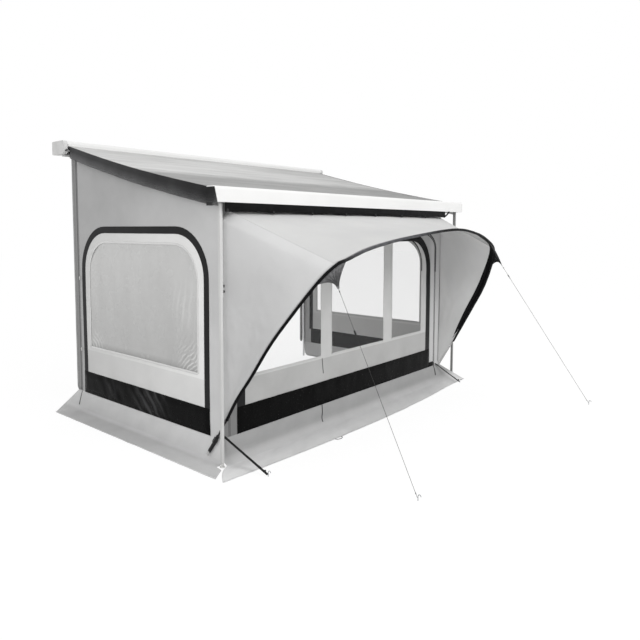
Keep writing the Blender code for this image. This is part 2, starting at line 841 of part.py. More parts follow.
def arm(side, end):
    """Folding arm, spread: shoulder fork, inner arm with elbow fork, outer arm."""
    wrist_out = rail_back - wrist_back
    drop = math.atan2(shoulder_up - wrist_up, wrist_out - shoulder_out)
    length = math.hypot(shoulder_up - wrist_up, wrist_out - shoulder_out)
    pivot = bpy.data.objects.new(f"arm_plane_{end}", None)
    pivot.parent = stand
    pivot.location = at(side * shoulder_x, shoulder_out, shoulder_up)
    pivot.rotation_euler = (drop, 0, 0)
    parts.objects.link(pivot)
    elbow = Vector((-side * elbow_offset, -length / 2))
    wrist = Vector((0, -length))
    elbow_top = Vector((elbow.x, elbow.y, arm_thickness / 2))
    shoulder(side, end, pivot)

    inner = plate(f"inner_arm_{end}", [link_outline((0, 0), elbow, arm_half_width)], arm_thickness,
                  silver, parent=pivot)
    slot_half = Vector((0, 0, arm_tongue / 2 + running_gap))
    elbow_point = Vector((elbow.x, elbow.y, 0))
    slot = rod(f"elbow_slot_{end}", elbow_point - slot_half, elbow_point + slot_half, elbow_reach,
               parent=pivot)
    bore_half = Vector((0, 0, arm_thickness))
    bore = rod(f"shoulder_bore_{end}", -bore_half, bore_half, arm_pin_radius + running_gap, parent=pivot)
    pin = rod(f"elbow_pin_{end}", elbow_point - (elbow_top - elbow_point), elbow_top, arm_pin_radius,
              parent=pivot)
    cut(inner, slot, bore)
    join(inner, pin)

    outer = plate(f"outer_arm_{end}", [link_outline(elbow, wrist, arm_half_width)], arm_thickness, silver,
                  parent=pivot)
    cheeks = []
    for face in (-1, 1):
        low = elbow_point + Vector((0, 0, face * arm_tongue / 2))
        high = elbow_point + Vector((0, 0, face * arm_thickness))
        cheeks.append(rod(f"elbow_cheek_{end}_{face}", low, high, elbow_step, parent=pivot))
    hole = rod(f"elbow_bore_{end}", elbow_point - bore_half, elbow_point + bore_half,
               arm_pin_radius + running_gap, parent=pivot)
    block_low = at(side * shoulder_x - wrist_half, rail_back - seat_gap, wrist_up - wrist_height / 2)
    block_high = at(side * shoulder_x + wrist_half, wrist_out - arm_half_width / 2,
                    wrist_up + wrist_height / 2)
    join(outer, block(f"wrist_{end}", block_low, block_high))
    cut(outer, *cheeks, hole)


def shoulder(side, end, pivot):
    """Bracket on the cassette's tray, with the fork that holds the arm."""
    x = side * shoulder_x
    tray = cassette_bottom + cassette_wall + seat_gap
    base = block(f"shoulder_{end}", at(x - shoulder_half, shoulder_out, tray),
                 at(x + shoulder_half, shoulder_plate_back, tray + shoulder_plate), silver)
    half_height = arm_thickness / 2 + shoulder_cheek
    head = block(f"shoulder_head_{end}", Vector((-shoulder_half, -shoulder_nose, -half_height)),
                 Vector((shoulder_half, shoulder_head, half_height)), parent=pivot)
    slot_half = arm_thickness / 2 + running_gap
    slot_back = arm_half_width + running_gap * 4
    slot_side = shoulder_half + cut_overrun
    slot = block(f"shoulder_slot_{end}", Vector((-slot_side, -shoulder_head * 2, -slot_half)),
                 Vector((slot_side, slot_back, slot_half)), parent=pivot)
    pin_half = Vector((0, 0, half_height - shoulder_cheek / 2))
    pin = rod(f"shoulder_pin_{end}", -pin_half, pin_half, arm_pin_radius, parent=pivot)
    join(base, head)
    cut(base, slot)
    join(base, pin)


def rafters():
    """Tension rafters between the cassette's drip lip and the lead rail."""
    slope = math.atan2(rafter_rear_up - rafter_front_up, rail_back - tray_depth)
    end_gap = rafter_radius * math.sin(slope) + seat_gap
    for x, name in ((room_left + rafter_inset, "rafter_left"), (room_right - rafter_inset, "rafter_right")):
        pipe(name, at(x, tray_depth + end_gap, rafter_rear_up), at(x, rail_back - end_gap, rafter_front_up),
             rafter_radius, pole_wall, silver)


def rear_poles():
    """Upright poles inside the walls' rear edges, and the foam pads outside them."""
    inset = cloth + seat_gap + rear_pole_radius
    for x, side, end in ((room_left, 1, "left"), (room_right, -1, "right")):
        pole_x = x + side * inset
        top = roof_up(rear_pole_out) - rear_pole_drop
        pipe(f"rear_pole_{end}", at(pole_x, rear_pole_out, 0), at(pole_x, rear_pole_out, top),
             rear_pole_radius, pole_wall, silver)
        pad_low, pad_high = sorted((x, x + side * pad_thickness))
        pad = block(f"foam_pad_{end}", at(pad_low, wall_rear - seat_gap, skirt_top),
                    at(pad_high, room_rear_out, roof_up(wall_rear) - rear_pole_drop), foam)
        soften = pad.modifiers.new("round", "BEVEL")
        soften.width = cloth
        soften.segments = 2


def side_wall(x, side, end):
    """Side wall with its window, black frame, clear pane and skirt."""
    front, rear = wall_out, wall_rear
    under_rail = rail_underside - seat_gap
    behind_rail = rail_back - seat_gap
    outline = [(rear, skirt_top + seat_gap), (front, skirt_top + seat_gap), (front, under_rail),
               (behind_rail, under_rail)]
    for step in range(corner_steps * 2 + 1):
        out = lerp(behind_rail, rear, step / (corner_steps * 2))
        outline.append((out, roof_up(out) - cloth / 2 - running_gap * 2))
    pane = (rear + side_pane_rear, front - side_pane_front, side_pane_bottom, side_pane_top)
    window = rectangle(*pane, (0, 0, side_pane_radius, side_pane_radius))
    middle = x + side * cloth / 2
    plate(f"side_wall_{end}", [outline, window], cloth, grey_cloth, side_turn, (middle, 0, 0))

    left, right = rear + side_frame_rear, front - side_frame_front
    radius = side_frame_radius
    frame = rectangle(left, right, skirt_top + seat_gap, side_frame_top, (0, 0, radius, radius))
    band = side_frame_band
    hole = rectangle(left + band, right - band, strip_top, side_frame_top - band,
                     (0, 0, radius - band, radius - band))
    face = x - side * (cloth / 2 + seat_gap)
    plate(f"side_frame_{end}", [frame, hole], cloth, black_cloth, side_turn, (face, 0, 0))

    lap = pane_lap
    clear = rectangle(pane[0] - lap, pane[1] + lap, pane[2] - lap, pane[3] + lap,
                      (0, 0, side_pane_radius, side_pane_radius))
    inside = x + side * (cloth + seat_gap + foil / 2)
    plate(f"side_pane_{end}", [clear], foil, clear_foil, side_turn, (inside, 0, 0))


def skirt_section(reach, v):
    """How far out and how high a skirt lies at share v of the way to its edge."""
    hang = skirt_top - seat_gap - skirt_bend - cloth
    bend = skirt_bend * math.pi / 2
    run = reach - skirt_bend
    done = v * (hang + bend + run)
    if done < hang:
        return 0, skirt_top - seat_gap - done, done / hang
    if done < hang + bend:
        angle = (done - hang) / skirt_bend
        return skirt_bend * (1 - math.cos(angle)), cloth + skirt_bend * (1 - math.sin(angle)), 1
    return skirt_bend + done - hang - bend, cloth, 1


def skirt_wave(u, v, reach):
    """Folds in the hanging part and along the outer edge on the ground."""
    spread, height, hung = skirt_section(reach, v)
    wave = math.sin(2 * math.pi * skirt_folds * u)
    if spread == 0:
        spread = skirt_fold * math.sin(math.pi * hung) * (1 + wave) / 2
    ground = max(spread - skirt_bend, 0) / reach
    return spread, height + skirt_ground_fold * ground * ground * (1 + wave) / 2


def side_skirt(x, side, end):
    """Skirt that hangs from the side wall and lies out on the ground."""
    def place(u, v):
        spread, height = skirt_wave(u, v, side_skirt_reach)
        share = spread / side_skirt_reach
        front = wall_out + skirt_side_flare * max(spread - skirt_foot_clear, 0) / side_skirt_reach
        rear = wall_rear - skirt_rear_flare * share
        return at(x - side * (spread - cloth / 2), lerp(rear, front, u), height)

    sheet(f"side_skirt_{end}", 28, 9, place, cloth, grey_cloth)


def front_skirt():
    """Skirt of the front wall, with a notch round each foot at its ends."""
    def place(u, v):
        end_share = front_skirt_left_share if u < 1 / 2 else front_skirt_right_share
        reach = front_skirt_reach * (1 - (1 - end_share) * (2 * u - 1) ** 2)
        spread, height = skirt_wave(u, v, reach)
        flare = max(spread - skirt_foot_clear, 0) / (front_skirt_reach - skirt_foot_clear)
        left = room_left + front_skirt_inset - front_skirt_left_flare * flare
        right = room_right - front_skirt_inset + front_skirt_right_flare * flare
        return at(lerp(left, right, u), wall_out - cloth / 2 + spread, height)

    sheet("front_skirt", 36, 10, place, cloth, grey_cloth)


def front_openings():
    """The three window outlines between the front wall's dividers."""
    left, right = room_left + front_pane_left, room_right - front_pane_right
    first = lerp(left, right, divider_left_share)
    second = lerp(left, right, divider_right_share)
    half = divider_width / 2
    radius = front_pane_radius
    spans = ((left, first - half, (0, 0, 0, radius)), (first + half, second - half, (0, 0, 0, 0)),
             (second + half, right, (0, 0, radius, 0)))
    return [rectangle(low, high, front_pane_bottom, front_pane_top, radii) for low, high, radii in spans]


def front_wall():
    """Front wall with three windows, its black frame and the clear pane behind."""
    left, right = room_left + cloth + seat_gap, room_right - cloth - seat_gap
    outline = rectangle(left, right, skirt_top + seat_gap, rail_underside - seat_gap)
    middle = at(0, wall_out - cloth / 2, 0)
    plate("front_wall", [outline, *front_openings()], cloth, light_cloth, front_turn, middle)

    low, high = room_left + front_frame_left, room_right - front_frame_right
    radius, band = front_frame_radius, front_frame_band
    frame = rectangle(low, high, skirt_top + seat_gap, front_frame_top, (0, 0, radius, radius))
    hole = rectangle(low + band, high - band, strip_top, front_frame_top - band,
                     (0, 0, radius - band, radius - band))
    plate("front_frame", [frame, hole], cloth, black_cloth, front_turn,
          at(0, wall_out + cloth / 2 + seat_gap, 0))

    lap = pane_lap
    clear = rectangle(room_left + front_pane_left - lap, room_right - front_pane_right + lap,
                      front_pane_bottom - lap, front_pane_top + lap,
                      (0, 0, front_pane_radius, front_pane_radius))
    plate("front_pane", [clear], foil, clear_foil, front_turn,
          at(0, wall_out - cloth - seat_gap - foil / 2, 0))


def arch_route():
    """The arch pole's centre line."""
    points = [at(x * arch_half_width, wall_out + reach * canopy_reach, up * arch_height)
              for x, reach, up in arch_route_share]
    return smooth(points, arch_steps)


def shares_of(route):
    """Each point's share of the route's length."""
    lengths = [0]
    for before, after in zip(route, route[1:]):
        lengths.append(lengths[-1] + (after - before).length)
    return [length / lengths[-1] for length in lengths]


def beside_sleeve(point, heading, target):
    """A point just off the sleeve, square to it, on the side that faces target."""
    pull = target - point
    pull -= heading * pull.dot(heading) / heading.length_squared
    return point + pull.normalized() * (sleeve_radius + seat_gap)


def canopy(route):
    """Sun canopy: left cheek, top and right cheek, sewn between wall and sleeve."""
    left_x, right_x = room_left + canopy_left_inset, room_right - canopy_right_inset
    shoulder_low = canopy_top - canopy_shoulder
    back = wall_out + canopy_wall_gap
    left_cut, right_cut = arch_left_corner * arch_steps, arch_right_corner * arch_steps
    inner = canopy_shoulder
    sections = (
        ([at(left_x, back, canopy_left_foot), at(left_x, back, shoulder_low),
          at(left_x + inner, back, canopy_top)], 0, left_cut, Vector((1, 0, 0))),
        ([at(left_x + inner, back, canopy_top), at(right_x - inner, back, canopy_top)],
         left_cut, right_cut, Vector((0, 0, -1))),
        ([at(right_x - inner, back, canopy_top), at(right_x, back, shoulder_low),
          at(right_x, back, canopy_right_foot)], right_cut, len(route) - 1, Vector((-1, 0, 0))),
    )
    seams = {}
    for wall_line, first, last, pull in sections:
        for index, share in zip(range(first, last + 1), shares_of(route[first:last + 1])):
            start = along(wall_line, share)
            heading = route[min(index + 1, len(route) - 1)] - route[max(index - 1, 0)]
            belly = pull * canopy_sag * math.sin(math.pi * share)
            seams[index] = start, beside_sleeve(route[index], heading, start), belly
    columns = len(route) - 1

    def place(u, v):
        start, end, belly = seams[round(u * columns)]
        return lerp(start, end, v) + belly * math.sin(math.pi * v)

    sheet("canopy", columns, canopy_rows, place, cloth, light_cloth)


def arch(route):
    """Glass-fibre arch pole in the sleeve on the canopy's front edge."""
    tail_start = route[0] + (route[0] - route[1]).normalized() * pole_tail
    tail_end = route[-1] + (route[-1] - route[-2]).normalized() * pole_tail
    cord("arch_pole", [tail_start, *route, tail_end], pole_radius, black_plastic)
    hollow_cord("arch_sleeve", route, sleeve_radius, sleeve_wall, black_cloth)


def guy_ends(route):
    """A guy line's two ends, and the direction it runs in."""
    start, finish_point = (at(*point) for point in route)
    return start, finish_point, (finish_point - start).normalized()


def gusset(route, guy_route, reach, end):
    """Pleated corner piece that gathers the sleeve to the guy line's loop."""
    start, _, heading = guy_ends(guy_route)
    tip = start - heading * seat_gap * 2
    total = sum((after - before).length for before, after in zip(route, route[1:]))
    samples = [step / gusset_samples for step in range(gusset_samples + 1)]
    centre = min(samples, key=lambda share: (along(route, share) - tip).length)
    half = reach / total / 2
    line = along(route, centre + half) - along(route, centre - half)
    across = (line - heading * line.dot(heading)).normalized()

    def place(u, v):
        share = centre + lerp(-half, half, u)
        tangent = along(route, share + half / 4) - along(route, share - half / 4)
        edge = beside_sleeve(along(route, share), tangent, tip)
        return lerp(edge, tip + across * gusset_tip_width * (u - 1 / 2), v)

    sheet(f"gusset_{end}", 10, 3, place, cloth, black_cloth)


def guy_line(route, runner_share, end):
    """Taut guy line with its runner and the peg that holds it."""
    start, finish_point, heading = guy_ends(route)
    line = [lerp(start, finish_point, step / (guy_points - 1)) for step in range(guy_points)]
    cord(f"guy_line_{end}", line, guy_radius, cord_look)
    middle = lerp(start, finish_point, runner_share)
    body = plate(f"guy_runner_{end}", [rectangle(-runner_width / 2, runner_width / 2, -runner_length / 2,
                                                 runner_length / 2, (runner_width / 3,) * 4)],
                 runner_thickness, black_plastic)
    turn = Matrix.Rotation(-math.pi / 2, 4, "X")
    body.matrix_basis = aim(middle - heading, middle + heading) @ turn
    reach = heading * runner_length
    cut(body, rod(f"runner_bore_{end}", middle - reach, middle + reach, runner_bore))
    peg(f"guy_peg_{end}", finish_point, heading, guy_radius)


def peg(name, held, heading, half_thickness, spread=1.0):
    """The part of a wire peg above the ground, its hook facing away from the pull."""
    away = Vector((heading.x, heading.y, 0)).normalized()
    clear = peg_radius + half_thickness * abs(heading.z) + seat_gap
    foot_point = Vector((held.x, held.y, 0)) + away * clear / spread
    route = [foot_point + away * along_share * peg_hook + Vector((0, 0, up_share * peg_height))
             for along_share, up_share in peg_route_share]
    cord(name, route, peg_radius, steel)


def corner_strap(x, sideways, reach, end):
    """Webbing from a lower corner of the front wall to its peg."""
    start = at(x, wall_out + strap_thickness / 2, strap_up)
    finish_point = at(x + sideways, wall_out + reach, strap_width / 2)
    heading = (finish_point - start).normalized()
    across = Vector((1, 0, 0))

    def place(u, v):
        return lerp(start, finish_point, v) + across * strap_width * (u - 1 / 2)

    sheet(f"corner_strap_{end}", 1, 4, place, strap_thickness, black_cloth)
    flat = Vector((heading.x, heading.y, 0)).normalized()
    peg(f"corner_peg_{end}", finish_point, heading, strap_thickness / 2, abs(flat.y))


def zip_slider():
    """Slider of the front wall's right zip, with its pull tab."""
    x = room_right - zip_inset
    face = wall_out + seat_gap
    body = block("zip_slider", at(x - slider_width / 2, face + slider_depth, slider_up),
                 at(x + slider_width / 2, face, slider_up + slider_length), black_plastic)
    mid = face + slider_depth / 2
    tab = block("zip_tab", at(x - tab_width / 2, mid + tab_depth / 2, slider_up - tab_length),
                at(x + tab_width / 2, mid - tab_depth / 2, slider_up + slider_length / 2))
    join(body, tab)


cassette()
end_caps()
roller()
winding_eye()
lead_rail()
roof()
side_bands()
front_band()
for leg_side, leg_end in ((-1, "left"), (1, "right")):
    leg(leg_side, leg_end)
    arm(leg_side, leg_end)
rafters()
rear_poles()
for wall_x, inward, wall_end in ((room_left, 1, "left"), (room_right, -1, "right")):
    side_wall(wall_x, inward, wall_end)
    side_skirt(wall_x, inward, wall_end)
front_wall()
front_skirt()
canopy_route = arch_route()
canopy(canopy_route)
arch(canopy_route)
gusset(canopy_route, left_guy_route, left_gusset_reach, "left")
gusset(canopy_route, right_guy_route, right_gusset_reach, "right")
guy_line(left_guy_route, left_runner_share, "left")
guy_line(right_guy_route, right_runner_share, "right")
corner_strap(room_left + left_strap_inset, left_strap_sideways, left_strap_reach, "left")
corner_strap(room_right - right_strap_inset, right_strap_sideways, right_strap_reach, "right")
zip_slider()
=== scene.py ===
import math

import bmesh
import bpy
from mathutils import Matrix, Vector, noise


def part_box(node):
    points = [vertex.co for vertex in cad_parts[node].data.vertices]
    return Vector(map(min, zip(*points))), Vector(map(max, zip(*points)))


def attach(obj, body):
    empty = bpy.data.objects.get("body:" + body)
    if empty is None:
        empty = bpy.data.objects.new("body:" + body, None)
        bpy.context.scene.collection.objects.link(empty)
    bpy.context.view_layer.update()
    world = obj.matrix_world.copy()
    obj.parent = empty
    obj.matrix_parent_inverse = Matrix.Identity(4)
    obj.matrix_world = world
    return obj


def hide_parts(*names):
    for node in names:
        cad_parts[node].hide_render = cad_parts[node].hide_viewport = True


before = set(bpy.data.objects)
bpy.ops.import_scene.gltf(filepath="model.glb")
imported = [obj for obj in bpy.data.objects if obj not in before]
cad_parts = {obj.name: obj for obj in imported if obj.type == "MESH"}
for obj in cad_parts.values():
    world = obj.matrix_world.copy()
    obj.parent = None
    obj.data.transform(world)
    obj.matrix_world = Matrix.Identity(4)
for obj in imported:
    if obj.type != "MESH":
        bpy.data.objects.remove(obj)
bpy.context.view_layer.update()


# The view: a long, level look from the front left, a pale floor, a white backdrop and
# the soft light of a studio.
def tone(text):
    """A six-figure sRGB colour as the linear one that shaders take."""
    parts = [int(text[i:i + 2], 16) / 255 for i in (1, 3, 5)]
    return (*[c / 12.92 if c <= 0.04045 else ((c + 0.055) / 1.055) ** 2.4 for c in parts], 1)


def node(tree, kind, inputs=None, **settings):
    """Add a shader node, give it its settings, and link or set its inputs."""
    made = tree.nodes.new("ShaderNode" + kind)
    for key, value in settings.items():
        setattr(made, key, value)
    for key, value in (inputs or {}).items():
        if isinstance(value, bpy.types.NodeSocket):
            tree.links.new(value, made.inputs[key])
        else:
            made.inputs[key].default_value = value
    return made


def seen(tree):
    """1 where a camera ray, a reflection or a ray through glass sees the background."""
    path = node(tree, "LightPath").outputs
    either = node(tree, "Math", {0: path["Is Camera Ray"], 1: path["Is Glossy Ray"]}, operation="MAXIMUM")
    both = node(tree, "Math", {0: either.outputs[0], 1: path["Is Transmission Ray"]}, operation="MAXIMUM")
    return both.outputs[0]


def lamp(name, place, target, size, power):
    """A round, soft light that faces its target."""
    data = bpy.data.lights.new(name, "AREA")
    data.shape = "DISK"
    data.size = size
    data.energy = power
    made = bpy.data.objects.new(name, data)
    bpy.context.collection.objects.link(made)
    made.location = place
    made.rotation_euler = (Vector(target) - Vector(place)).to_track_quat("-Z", "Y").to_euler()


scene = bpy.context.scene
scene.view_settings.view_transform = "Standard"
view = bpy.data.cameras.new("camera")
view.sensor_width = 36
view.lens = 33.483
view.shift_x = 0.03597
view.shift_y = -0.0732
camera = bpy.data.objects.new("camera", view)
scene.collection.objects.link(camera)
camera.location = (-4.8457, -4.16495, 1.8552)
camera.rotation_euler = (math.radians(85.674), 0, math.radians(-48.524))
scene.camera = camera

world = bpy.data.worlds.new("studio")
scene.world = world
world.use_nodes = True
tree = world.node_tree
background = tree.nodes["Background"]
background.inputs["Color"].default_value = (1, 1, 1, 1)
strength = node(tree, "MapRange", {"Value": seen(tree), "To Min": 0.72, "To Max": 1.0})
tree.links.new(strength.outputs[0], background.inputs["Strength"])

lamp("front_softbox", (-1.5, -7.5, 6.0), (0, -0.5, 1.0), 4.5, 250)
lamp("left_softbox", (-9.0, -1.5, 4.5), (-1.0, 0, 1.0), 4.0, 60)
lamp("top_softbox", (0.5, -1.5, 7.5), (0, 0, 1.0), 5.0, 25)

bpy.ops.mesh.primitive_plane_add(size=70, location=(0, 0, -0.0005))
floor = bpy.context.active_object
floor.name = "floor"
paper = bpy.data.materials.new("white studio paper")
paper.use_nodes = True
tree = paper.node_tree
tree.nodes["Principled BSDF"].inputs["Base Color"].default_value = tone("#EBEBEB")
tree.nodes["Principled BSDF"].inputs["Roughness"].default_value = 0.9
glow = node(tree, "Emission", {"Strength": 1.06})
share = node(tree, "Math", {0: seen(tree), 1: 0.86}, operation="MULTIPLY")
mixed = node(tree, "MixShader", {0: share.outputs[0], 1: tree.nodes["Principled BSDF"].outputs[0],
                                 2: glow.outputs[0]})
tree.links.new(mixed.outputs[0], tree.nodes["Material Output"].inputs["Surface"])
floor.data.materials.append(paper)


# Guy lines: two braided polyester cords, 3 mm thick, tied through the eyelets of the
# canopy's corner gussets and pulled taut to their pegs, with a knot at each end.
rail_middle, vehicle_side = 0.0445, 1.65275


def at(x, out, up):
    """A place along the rail, out from the vehicle's side and up from the ground."""
    return Vector((x + rail_middle, vehicle_side - out, up))


def surface(name, colour, roughness, **inputs):
    """A material with its plain values set. Spaces in the shader's names are written as _."""
    made = bpy.data.materials.new(name)
    made.use_nodes = True
    shader = made.node_tree.nodes["Principled BSDF"]
    shader.inputs["Base Color"].default_value = tone(colour)
    shader.inputs["Roughness"].default_value = roughness
    for key, value in inputs.items():
        shader.inputs[key.replace("_", " ")].default_value = value
    return made


def grain(look, size_mm, stretch=(1, 1, 1), detail=3.0, source="Object"):
    """A noise with spots size_mm across, on the object's or the cloth's own coordinates."""
    tree = look.node_tree
    coords = node(tree, "TexCoord").outputs[source]
    scale = [1000 / size_mm * s for s in stretch]
    placed = node(tree, "Mapping", {"Vector": coords, "Scale": scale})
    return node(tree, "TexNoise", {"Vector": placed.outputs[0], "Scale": 1.0, "Detail": detail}).outputs[0]


def bands(look, pitch_mm, turn=0.0, wobble=0.0):
    """Parallel ribs pitch_mm apart across the cloth's own first axis, or turned from it."""
    tree = look.node_tree
    coords = node(tree, "TexCoord").outputs["UV"]
    placed = node(tree, "Mapping", {"Vector": coords, "Rotation": (0, 0, turn)})
    unscaled_mm = 314.16
    return node(tree, "TexWave", {"Vector": placed.outputs[0], "Scale": unscaled_mm / pitch_mm,
                                  "Distortion": wobble, "Detail": 1.0}).outputs["Color"]


def tint(look, field, dark, light, low=0.3, high=0.7):
    """Let a field run the base colour from dark to light."""
    tree = look.node_tree
    ramp = node(tree, "ValToRGB", {"Fac": field})
    ramp.color_ramp.elements[0].position = low
    ramp.color_ramp.elements[0].color = tone(dark)
    ramp.color_ramp.elements[1].position = high
    ramp.color_ramp.elements[1].color = tone(light)
    tree.links.new(ramp.outputs[0], tree.nodes["Principled BSDF"].inputs["Base Color"])


def bump(look, field, height_mm):
    """Raise a field on the surface, over any bump that is there already."""
    tree = look.node_tree
    normal = tree.nodes["Principled BSDF"].inputs["Normal"]
    raised = node(tree, "Bump", {"Height": field, "Strength": 1.0, "Distance": height_mm / 1000})
    if normal.is_linked:
        tree.links.new(normal.links[0].from_socket, raised.inputs["Normal"])
    tree.links.new(raised.outputs[0], normal)


def put(name, mesh, looks):
    """A mesh as an object of the scene, with its materials."""
    for look in looks:
        mesh.materials.append(look)
    made = bpy.data.objects.new(name, mesh)
    bpy.context.collection.objects.link(made)
    return made


def select(obj):
    """Make one object the only one selected and active."""
    bpy.ops.object.select_all(action="DESELECT")
    obj.select_set(True)
    bpy.context.view_layer.objects.active = obj


def soften(obj, degrees):
    """Shade an object smooth, but for edges sharper than some degrees."""
    select(obj)
    bpy.ops.object.shade_smooth_by_angle(angle=math.radians(degrees))


def collect(name, verts, faces, looks, flat_uv=None, smooth=40):
    """A mesh object from points and faces, at the origin, with its UV and smooth shading."""
    mesh = bpy.data.meshes.new(name)
    mesh.from_pydata([tuple(v) for v in verts], [], faces)
    if flat_uv:
        layer = mesh.uv_layers.new(name="UVMap")
        for loop in mesh.loops:
            layer.data[loop.index].uv = flat_uv[loop.vertex_index]
    made = put(name, mesh, looks)
    soften(made, smooth)
    return made


def ring_faces(rings, sides):
    """The faces between rings of points, each ring to the next."""
    faces = []
    for index in range(rings):
        for side in range(sides):
            a, b = index * sides + side, index * sides + (side + 1) % sides
            faces.append((a, b, b + sides, a + sides))
    return faces


def end_faces(count, sides):
    """The two faces that close the first and the last ring of count points."""
    return [tuple(reversed(range(sides))), tuple(range(count - sides, count))]


def tube(name, path, radius, look, sides=8, ends=True):
    """A round tube on a line of points. The radius is a number or a function of the share."""
    verts, uvs, run = [], [], 0.0
    up = Vector((0, 0, 1)) if abs((path[1] - path[0]).normalized().z) < 0.9 else Vector((1, 0, 0))
    for index, point in enumerate(path):
        heading = (path[min(index + 1, len(path) - 1)] - path[max(index - 1, 0)]).normalized()
        across = heading.cross(up).normalized()
        up = across.cross(heading).normalized()
        share = index / (len(path) - 1)
        size = radius(share) if callable(radius) else radius
        run += (point - path[index - 1]).length if index else 0.0
        for side in range(sides):
            angle = 2 * math.pi * side / sides
            verts.append(point + across * size * math.cos(angle) + up * size * math.sin(angle))
            uvs.append((run, side / sides * 2 * math.pi * size))
    faces = ring_faces(len(path) - 1, sides) + (end_faces(len(verts), sides) if ends else [])
    return collect(name, verts, faces, [look], uvs)


def wound_knot(name, centre, heading, radius, turns, look):
    """Cord wound tightly round a line: a slipped knot's barrel."""
    side = heading.orthogonal().normalized()
    other = heading.cross(side)
    steps = turns * 12
    path = []
    for step in range(steps + 1):
        angle = 2 * math.pi * turns * step / steps
        along = (step / steps - 0.5) * turns * radius * 2
        turned = side * math.cos(angle) + other * math.sin(angle)
        path.append(centre + heading * along + turned * radius * 1.15)
    return tube(name, path, radius * 0.95, look)


def belong(slot, *pieces):
    """Pieces that stand still with the awning; the slot, the finish slot they share, is not used."""
    for piece in pieces:
        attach(piece, "awning")


# Braided polyester is dull, with crossed ribs of strands and dark flecks of painted shade between them.
braid = surface("guy cord, braided polyester, grey with a dark fleck", "#5E5E5D", 0.75,
                Specular_IOR_Level=0.25)
tint(braid, grain(braid, 4, detail=2.0), "#1E1E1F", "#4C4C4B")
bump(braid, bands(braid, 2.2, 0.6), 0.35)
bump(braid, bands(braid, 2.2, -0.6), 0.35)

# Each line's eyelet and peg, and the share of the way at which its runner sits.
guys = {"left": ((-1.469, 3.196, 1.416), (-1.398, 3.827, 0.020), 0.22),
        "right": ((1.470, 3.196, 1.440), (1.754, 4.043, 0.020), 0.075)}
cord_thick, knot_radius = 0.003, 0.0018
for end, (first, last, runner_share) in guys.items():
    start, stop = at(*first), at(*last)
    heading = (stop - start).normalized()
    path = [start.lerp(stop, step / 11) for step in range(12)]
    line = tube(f"guy_cord_{end}", path, cord_thick / 2, braid)
    knots = [wound_knot(f"guy_{kind}_{end}", spot, heading, knot_radius, turns, braid)
             for kind, spot, turns in (("knot", start + heading * 0.022, 4),
                                       ("tail_knot", stop - heading * 0.030, 3),
                                       ("stop", start.lerp(stop, runner_share) + heading * 0.026, 2))]
    belong("cord", line, *knots)
    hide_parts(f"guy_line_{end}")


# Roof cloth: one long piece of PVC-coated polyester, welded from four lengths, light grey
# with a fine marbled print, held by the roller at the back and the lead rail at the front.
def wear(look, field, low, high):
    """Let a field run the roughness from low to high."""
    tree = look.node_tree
    spread = node(tree, "MapRange", {"Value": field, "From Min": 0.3, "From Max": 0.7,
                                     "To Min": low, "To Max": high})
    tree.links.new(spread.outputs[0], tree.nodes["Principled BSDF"].inputs["Roughness"])


def axis(look, letter, source="Object"):
    """One coordinate of the object or of its cloth, in metres."""
    tree = look.node_tree
    return node(tree, "SeparateXYZ", {"Vector": node(tree, "TexCoord").outputs[source]}).outputs[letter]


def shade(look, field, start, stop, low, high):
    """Multiply the base colour by low where the field is start, up to high where it is stop."""
    tree = look.node_tree
    base = tree.nodes["Principled BSDF"].inputs["Base Color"]
    share = node(tree, "MapRange", {"Value": field, "From Min": start, "From Max": stop,
                                    "To Min": low, "To Max": high}).outputs[0]
    scaled = node(tree, "VectorMath", {0: base.links[0].from_socket, "Scale": share}, operation="SCALE")
    tree.links.new(scaled.outputs[0], base)


def weave(look, pitch_mm=1.1, height_mm=0.05):
    """Warp and weft of a coated cloth, drawn two or three times too coarse so that they show."""
    bump(look, bands(look, pitch_mm), height_mm)
    bump(look, bands(look, pitch_mm, math.pi / 2), height_mm)


def thicken(obj, thickness):
    """Give a sheet its thickness, half on each side."""
    select(obj)
    solid = obj.modifiers.new("thickness", "SOLIDIFY")
    solid.thickness = thickness
    solid.offset = 0
    bpy.ops.object.modifier_apply(modifier=solid.name)


def spots(look, size_mm, detail, stretch=(1, 1, 1)):
    """A noise with spots size_mm across, on the cloth's own coordinates."""
    return grain(look, size_mm, stretch, detail, "UV")


def shade_along(look, letter, *values):
    """Shade a cloth along its own X or Y."""
    shade(look, axis(look, letter, "UV"), *values)


def cloth(name, columns, rows, place, looks, thickness=0.002, zone=None):
    """A sheet as a grid of points with its own UV in metres. Keeps its flat size and area."""
    grid = [[place(c / columns, r / rows) for c in range(columns + 1)] for r in range(rows + 1)]
    across, down = [], [[0.0] for _ in range(columns + 1)]
    for row in grid:
        run = [0.0]
        for before, after in zip(row, row[1:]):
            run.append(run[-1] + (after - before).length)
        across.append(run)
    for c in range(columns + 1):
        for r in range(rows):
            down[c].append(down[c][-1] + (grid[r + 1][c] - grid[r][c]).length)
    verts = [point for row in grid for point in row]
    uvs = [(across[r][c], down[c][r]) for r in range(rows + 1) for c in range(columns + 1)]
    step = columns + 1
    faces = [(r * step + c, r * step + c + 1, (r + 1) * step + c + 1, (r + 1) * step + c)
             for r in range(rows) for c in range(columns)]
    made = collect(name, verts, faces, looks, uvs)
    made["wide"] = max(run[-1] for run in across)
    made["long"] = max(run[-1] for run in down)
    made["area"] = sum(face.area for face in made.data.polygons)
    if zone:
        for index, face in enumerate(made.data.polygons):
            face.material_index = zone(index % columns)
    thicken(made, thickness)
    return made


def declare(piece, nodes, slot, pieces=()):
    """Attach a sheet and what is sewn on it to the awning, and hide the part's nodes that it stands for."""
    belong(slot, piece, *pieces)
    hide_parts(*nodes)


